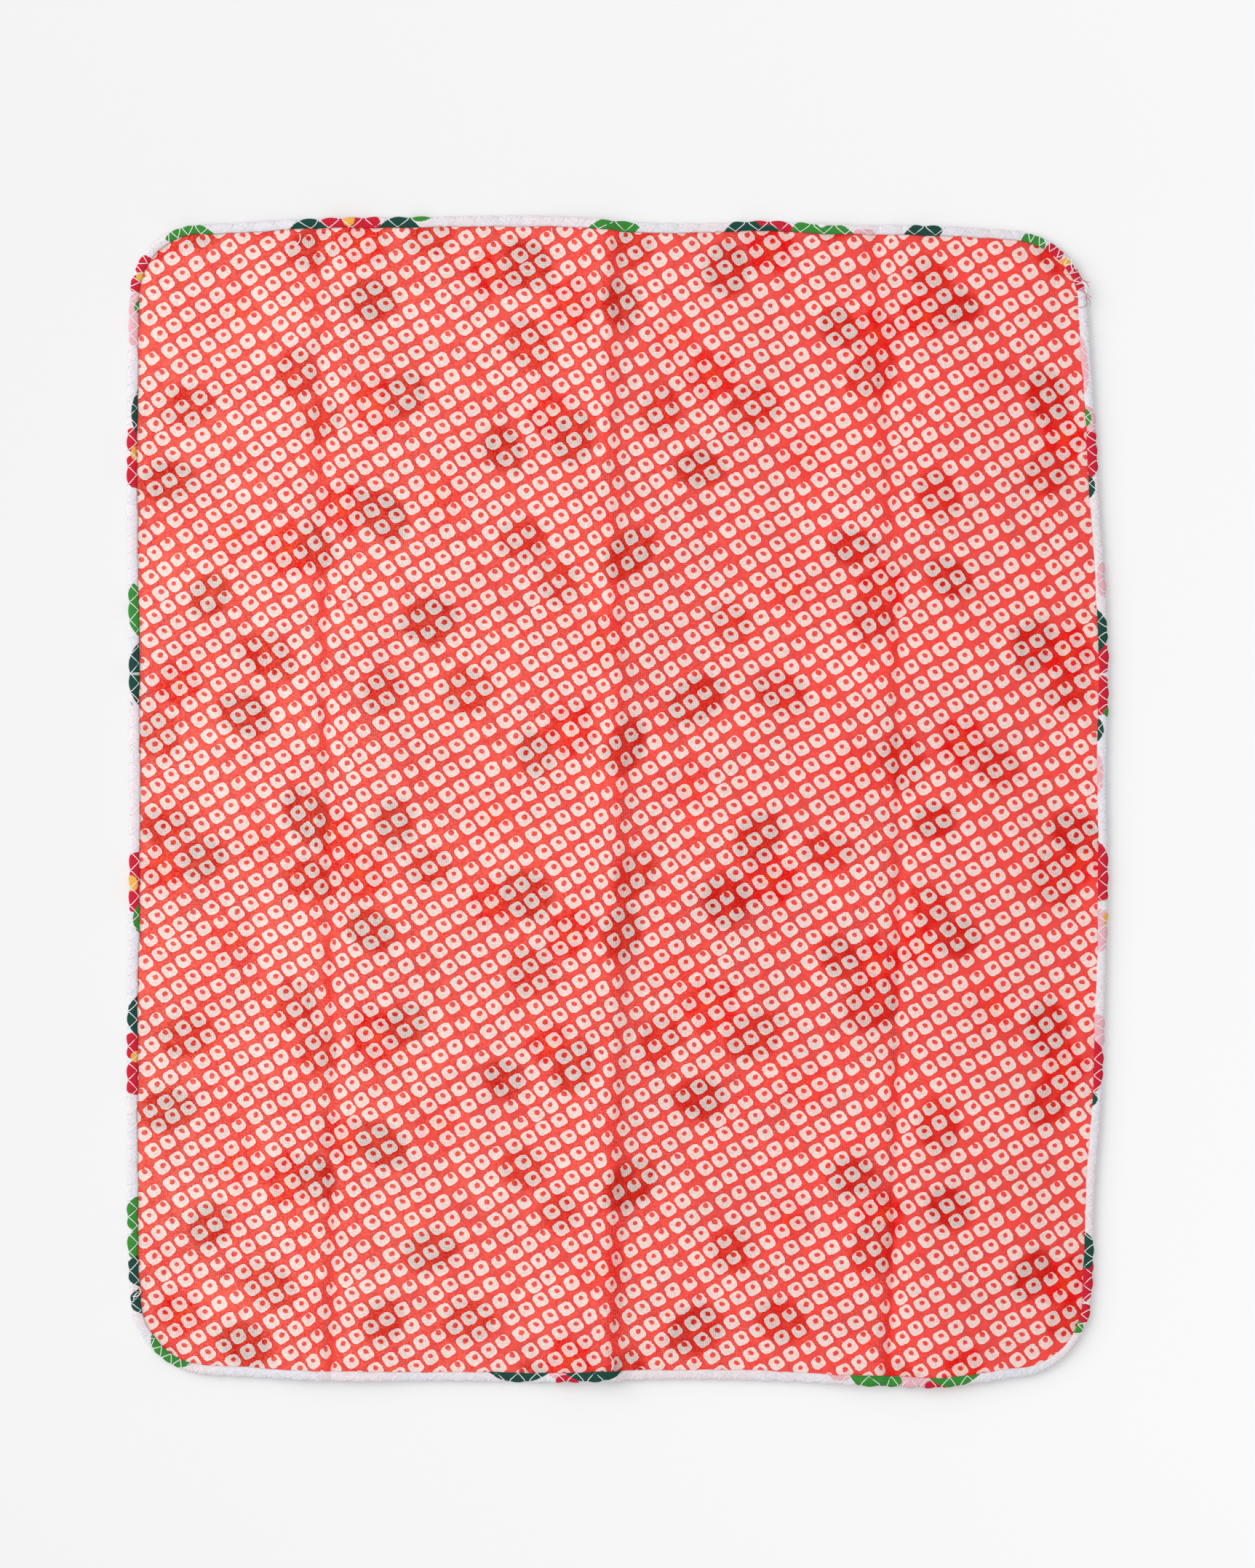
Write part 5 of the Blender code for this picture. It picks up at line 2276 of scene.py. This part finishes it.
@dataclass(frozen=True)
class LooseEnds:
    """Ends of sewing thread and frayed fibres that lie on the cloth near the hem."""

    roughness: float = 0.7
    crimson_dye: Colour = (0.56, 0.03, 0.07, 1.0)
    green_dye: Colour = (0.02, 0.10, 0.07, 1.0)
    start_lift: float = 0.3
    thread: float = 0.26
    fibre: float = 0.13
    sides: int = 6
    steps: int = 9
    on_hem: float = 2.34
    on_cloth: float = 1.78
    hem_insets: tuple[float, float] = (2.3, 3.1)
    white: tuple[Wisp, ...] = table(
        Wisp,
        (-81.1, 145.1, -81.9, 141.9, 0.18, 0.30), (-16.6, 146.6, -15.7, 144.0, -0.12, 0.3),
        (-2.5, -141.2, -2.3, -145.4, 0.10, 0.3), (117.0, 131.9, 120.0, 130.4, 0.35, 0.4),
        (116.6, 128.9, 119.6, 131.1, -0.30, 0.5), (118.1, 133.4, 118.9, 128.2, 0.25, 0.6),
        (114.6, 138.9, 117.2, 135.4, 0.12, 0.3), (116.4, 139.3, 116.6, 134.9, -0.15, 0.4),
        (-123.7, -123.5, -121.9, -126.0, 0.30, 0.4),
        (-123.9, -126.4, -121.6, -124.6, -0.30, 0.5),
        (-123.4, -127.9, -122.0, -125.2, 0.20, 0.3),
    )
    crimson: tuple[Wisp, ...] = table(
        Wisp,
        (117.4, 133.2, 120.6, 131.0, 0.2, 0.5), (118.0, 134.2, 121.0, 132.6, -0.2, 0.4),
        (116.8, 130.6, 119.8, 127.4, 0.3, 0.5), (118.6, 131.6, 121.4, 128.6, -0.15, 0.4),
        (119.2, 129.2, 120.6, 126.4, 0.2, 0.4), (117.6, 126.2, 120.2, 127.4, -0.2, 0.3),
    )
    green: tuple[Wisp, ...] = table(
        Wisp,
        (-124.0, -122.6, -121.6, -123.6, 0.2, 0.4),
        (-123.8, -124.6, -121.0, -125.4, -0.15, 0.4),
        (-123.6, -126.2, -121.8, -128.0, 0.2, 0.4),
        (-124.2, -127.2, -122.0, -126.6, -0.2, 0.3), (-121.7, 27.0, -119.1, 27.6, 0.08, 0.2),
        (-124.4, 25.4, -123.8, 24.4, 0.1, 0.2),
    )

    def _paths(self, wisps: tuple[Wisp, ...]) -> list[Array]:
        """Return each loose end's path: a bowed line that lifts off in the middle.

        Formula: a straight line between both ends, moved sideways and up by half a
        sine wave of the share walked, over the hem or the cloth inside it.

        Args:
            wisps: the loose ends of one kind.

        Returns:
            One array of places for each loose end.
        """
        share = np.linspace(0.0, 1.0, self.steps)
        arch = np.sin(np.pi * share)
        paths = []
        for wisp in wisps:
            dx, dy = wisp.end_x - wisp.x, wisp.end_y - wisp.y
            x = wisp.x + dx * share - dy * wisp.bend * arch
            y = wisp.y + dy * share + dx * wisp.bend * arch
            across, along = FOLDS.flattened(x, y)
            inset = -FOLDS.edge_place(across, along)[1]
            lying = np.interp(inset, self.hem_insets, (self.on_hem, self.on_cloth))
            rise = lying + wisp.lift * (arch + self.start_lift * (1.0 - share))
            paths.append(FOLDS.placed(across, along, rise) - CENTRE)
        return paths

    def build(self) -> list[Piece]:
        """Build the three kinds of loose end.

        Returns:
            One piece for each kind.
        """
        groups = (
            ("loose_thread_ends", self.white, self.thread, THREAD_WHITE),
            ("crimson_fibres", self.crimson, self.fibre, self.crimson_dye),
            ("green_fibres", self.green, self.fibre, self.green_dye),
        )
        pieces = []
        for name, wisps, thick, tint in groups:
            finish = ThreadFinish(name, tint, self.roughness)
            pieces.append(tube(name, self._paths(wisps), thick, self.sides, finish))
        return pieces


@dataclass(frozen=True)
class Studio:
    """Pale floor, daylight from the left and the camera straight above."""

    view_x: float = 2.6
    view_y: float = 4.4
    camera_height: float = 1.115
    lens: float = 100.0
    sensor: float = 36.0
    near_clip: float = 0.01
    far_clip: float = 50.0
    floor_half: float = 4.0
    floor_cells: int = 40
    floor_level: float = -0.03
    sky: float = 0.625
    key_place: tuple[float, float, float] = (-1.08, 0.40, 0.97)
    key_size: float = 1.5
    key_power: float = 14.9
    fill_place: tuple[float, float, float] = (0.5, -0.2, 2.6)
    fill_size: float = 2.4
    fill_power: float = 5.5

    def floor(self) -> Piece:
        """Build the floor as a level grid, a little lower than the cloth.

        Returns:
            The floor.
        """
        line = np.linspace(-self.floor_half, self.floor_half, self.floor_cells + 1) / MM
        x, y = np.meshgrid(line, line)
        points = np.column_stack((x.ravel(), y.ravel(), np.full(x.size, self.floor_level)))
        faces = [grid_faces(len(line), len(line))]
        return made_mesh("studio_floor", points, faces, FloorFinish())

    def camera(self) -> None:
        """Put the camera straight above the middle of the photograph."""
        data = bpy.data.cameras.new("camera")
        data.lens = self.lens
        data.sensor_width = self.sensor
        data.clip_start, data.clip_end = self.near_clip, self.far_clip
        camera = bpy.data.objects.new("camera", data)
        camera.location = (
            (self.view_x - CENTRE[0]) * MM, (self.view_y - CENTRE[1]) * MM, self.camera_height)
        bpy.context.scene.collection.objects.link(camera)
        bpy.context.scene.camera = camera

    def lights(self) -> None:
        """Hang a wide lamp up on the left, a softer one above, and an even pale sky."""
        self._lamp("key_lamp", self.key_place, self.key_size, self.key_power)
        self._lamp("fill_lamp", self.fill_place, self.fill_size, self.fill_power)
        world = bpy.data.worlds.new("studio")
        world.use_nodes = True
        background = world.node_tree.nodes["Background"]
        background.inputs[0].default_value = grey(1.0)
        background.inputs[1].default_value = self.sky
        bpy.context.scene.world = world

    @staticmethod
    def _lamp(name: str, place: tuple[float, float, float], size: float, power: float) -> None:
        """Hang one square lamp that faces the middle of the cloth.

        Args:
            name: the lamp's name.
            place: where it hangs, in metres.
            size: the length of its sides, in metres.
            power: how strongly it shines, in watts.
        """
        data = bpy.data.lights.new(name, "AREA")
        data.shape = "SQUARE"
        data.size = size
        data.energy = power
        lamp = bpy.data.objects.new(name, data)
        lamp.location = place
        heading = np.array(place) / np.linalg.norm(place)
        tilt = np.arccos(heading[2])
        lamp.rotation_euler = (tilt, 0.0, np.arctan2(heading[1], heading[0]) + 0.5 * np.pi)
        bpy.context.scene.collection.objects.link(lamp)

    def build(self) -> None:
        """Set up the whole studio."""
        self.floor()
        self.camera()
        self.lights()
        bpy.context.scene.view_settings.view_transform = "Standard"


def main() -> None:
    """Build both cloths, the sewing and the studio, and report each piece."""
    logging.basicConfig(level=logging.INFO, format="%(message)s")
    back, front = BackCloth(), FrontCloth()
    back_piece, front_piece = back.build(), front.build()
    thread = back.stitching.build(back.band)
    ends = LooseEnds().build()
    sewing = [thread, *ends]
    for piece in (back_piece, front_piece, *sewing):
        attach(piece, "root")
        LOG.info("%s: %d faces", piece.name, len(piece.data.polygons))
    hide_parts("back_cloth")
    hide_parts("front_cloth")
    Studio().build()


if __name__ == "__main__":
    main()
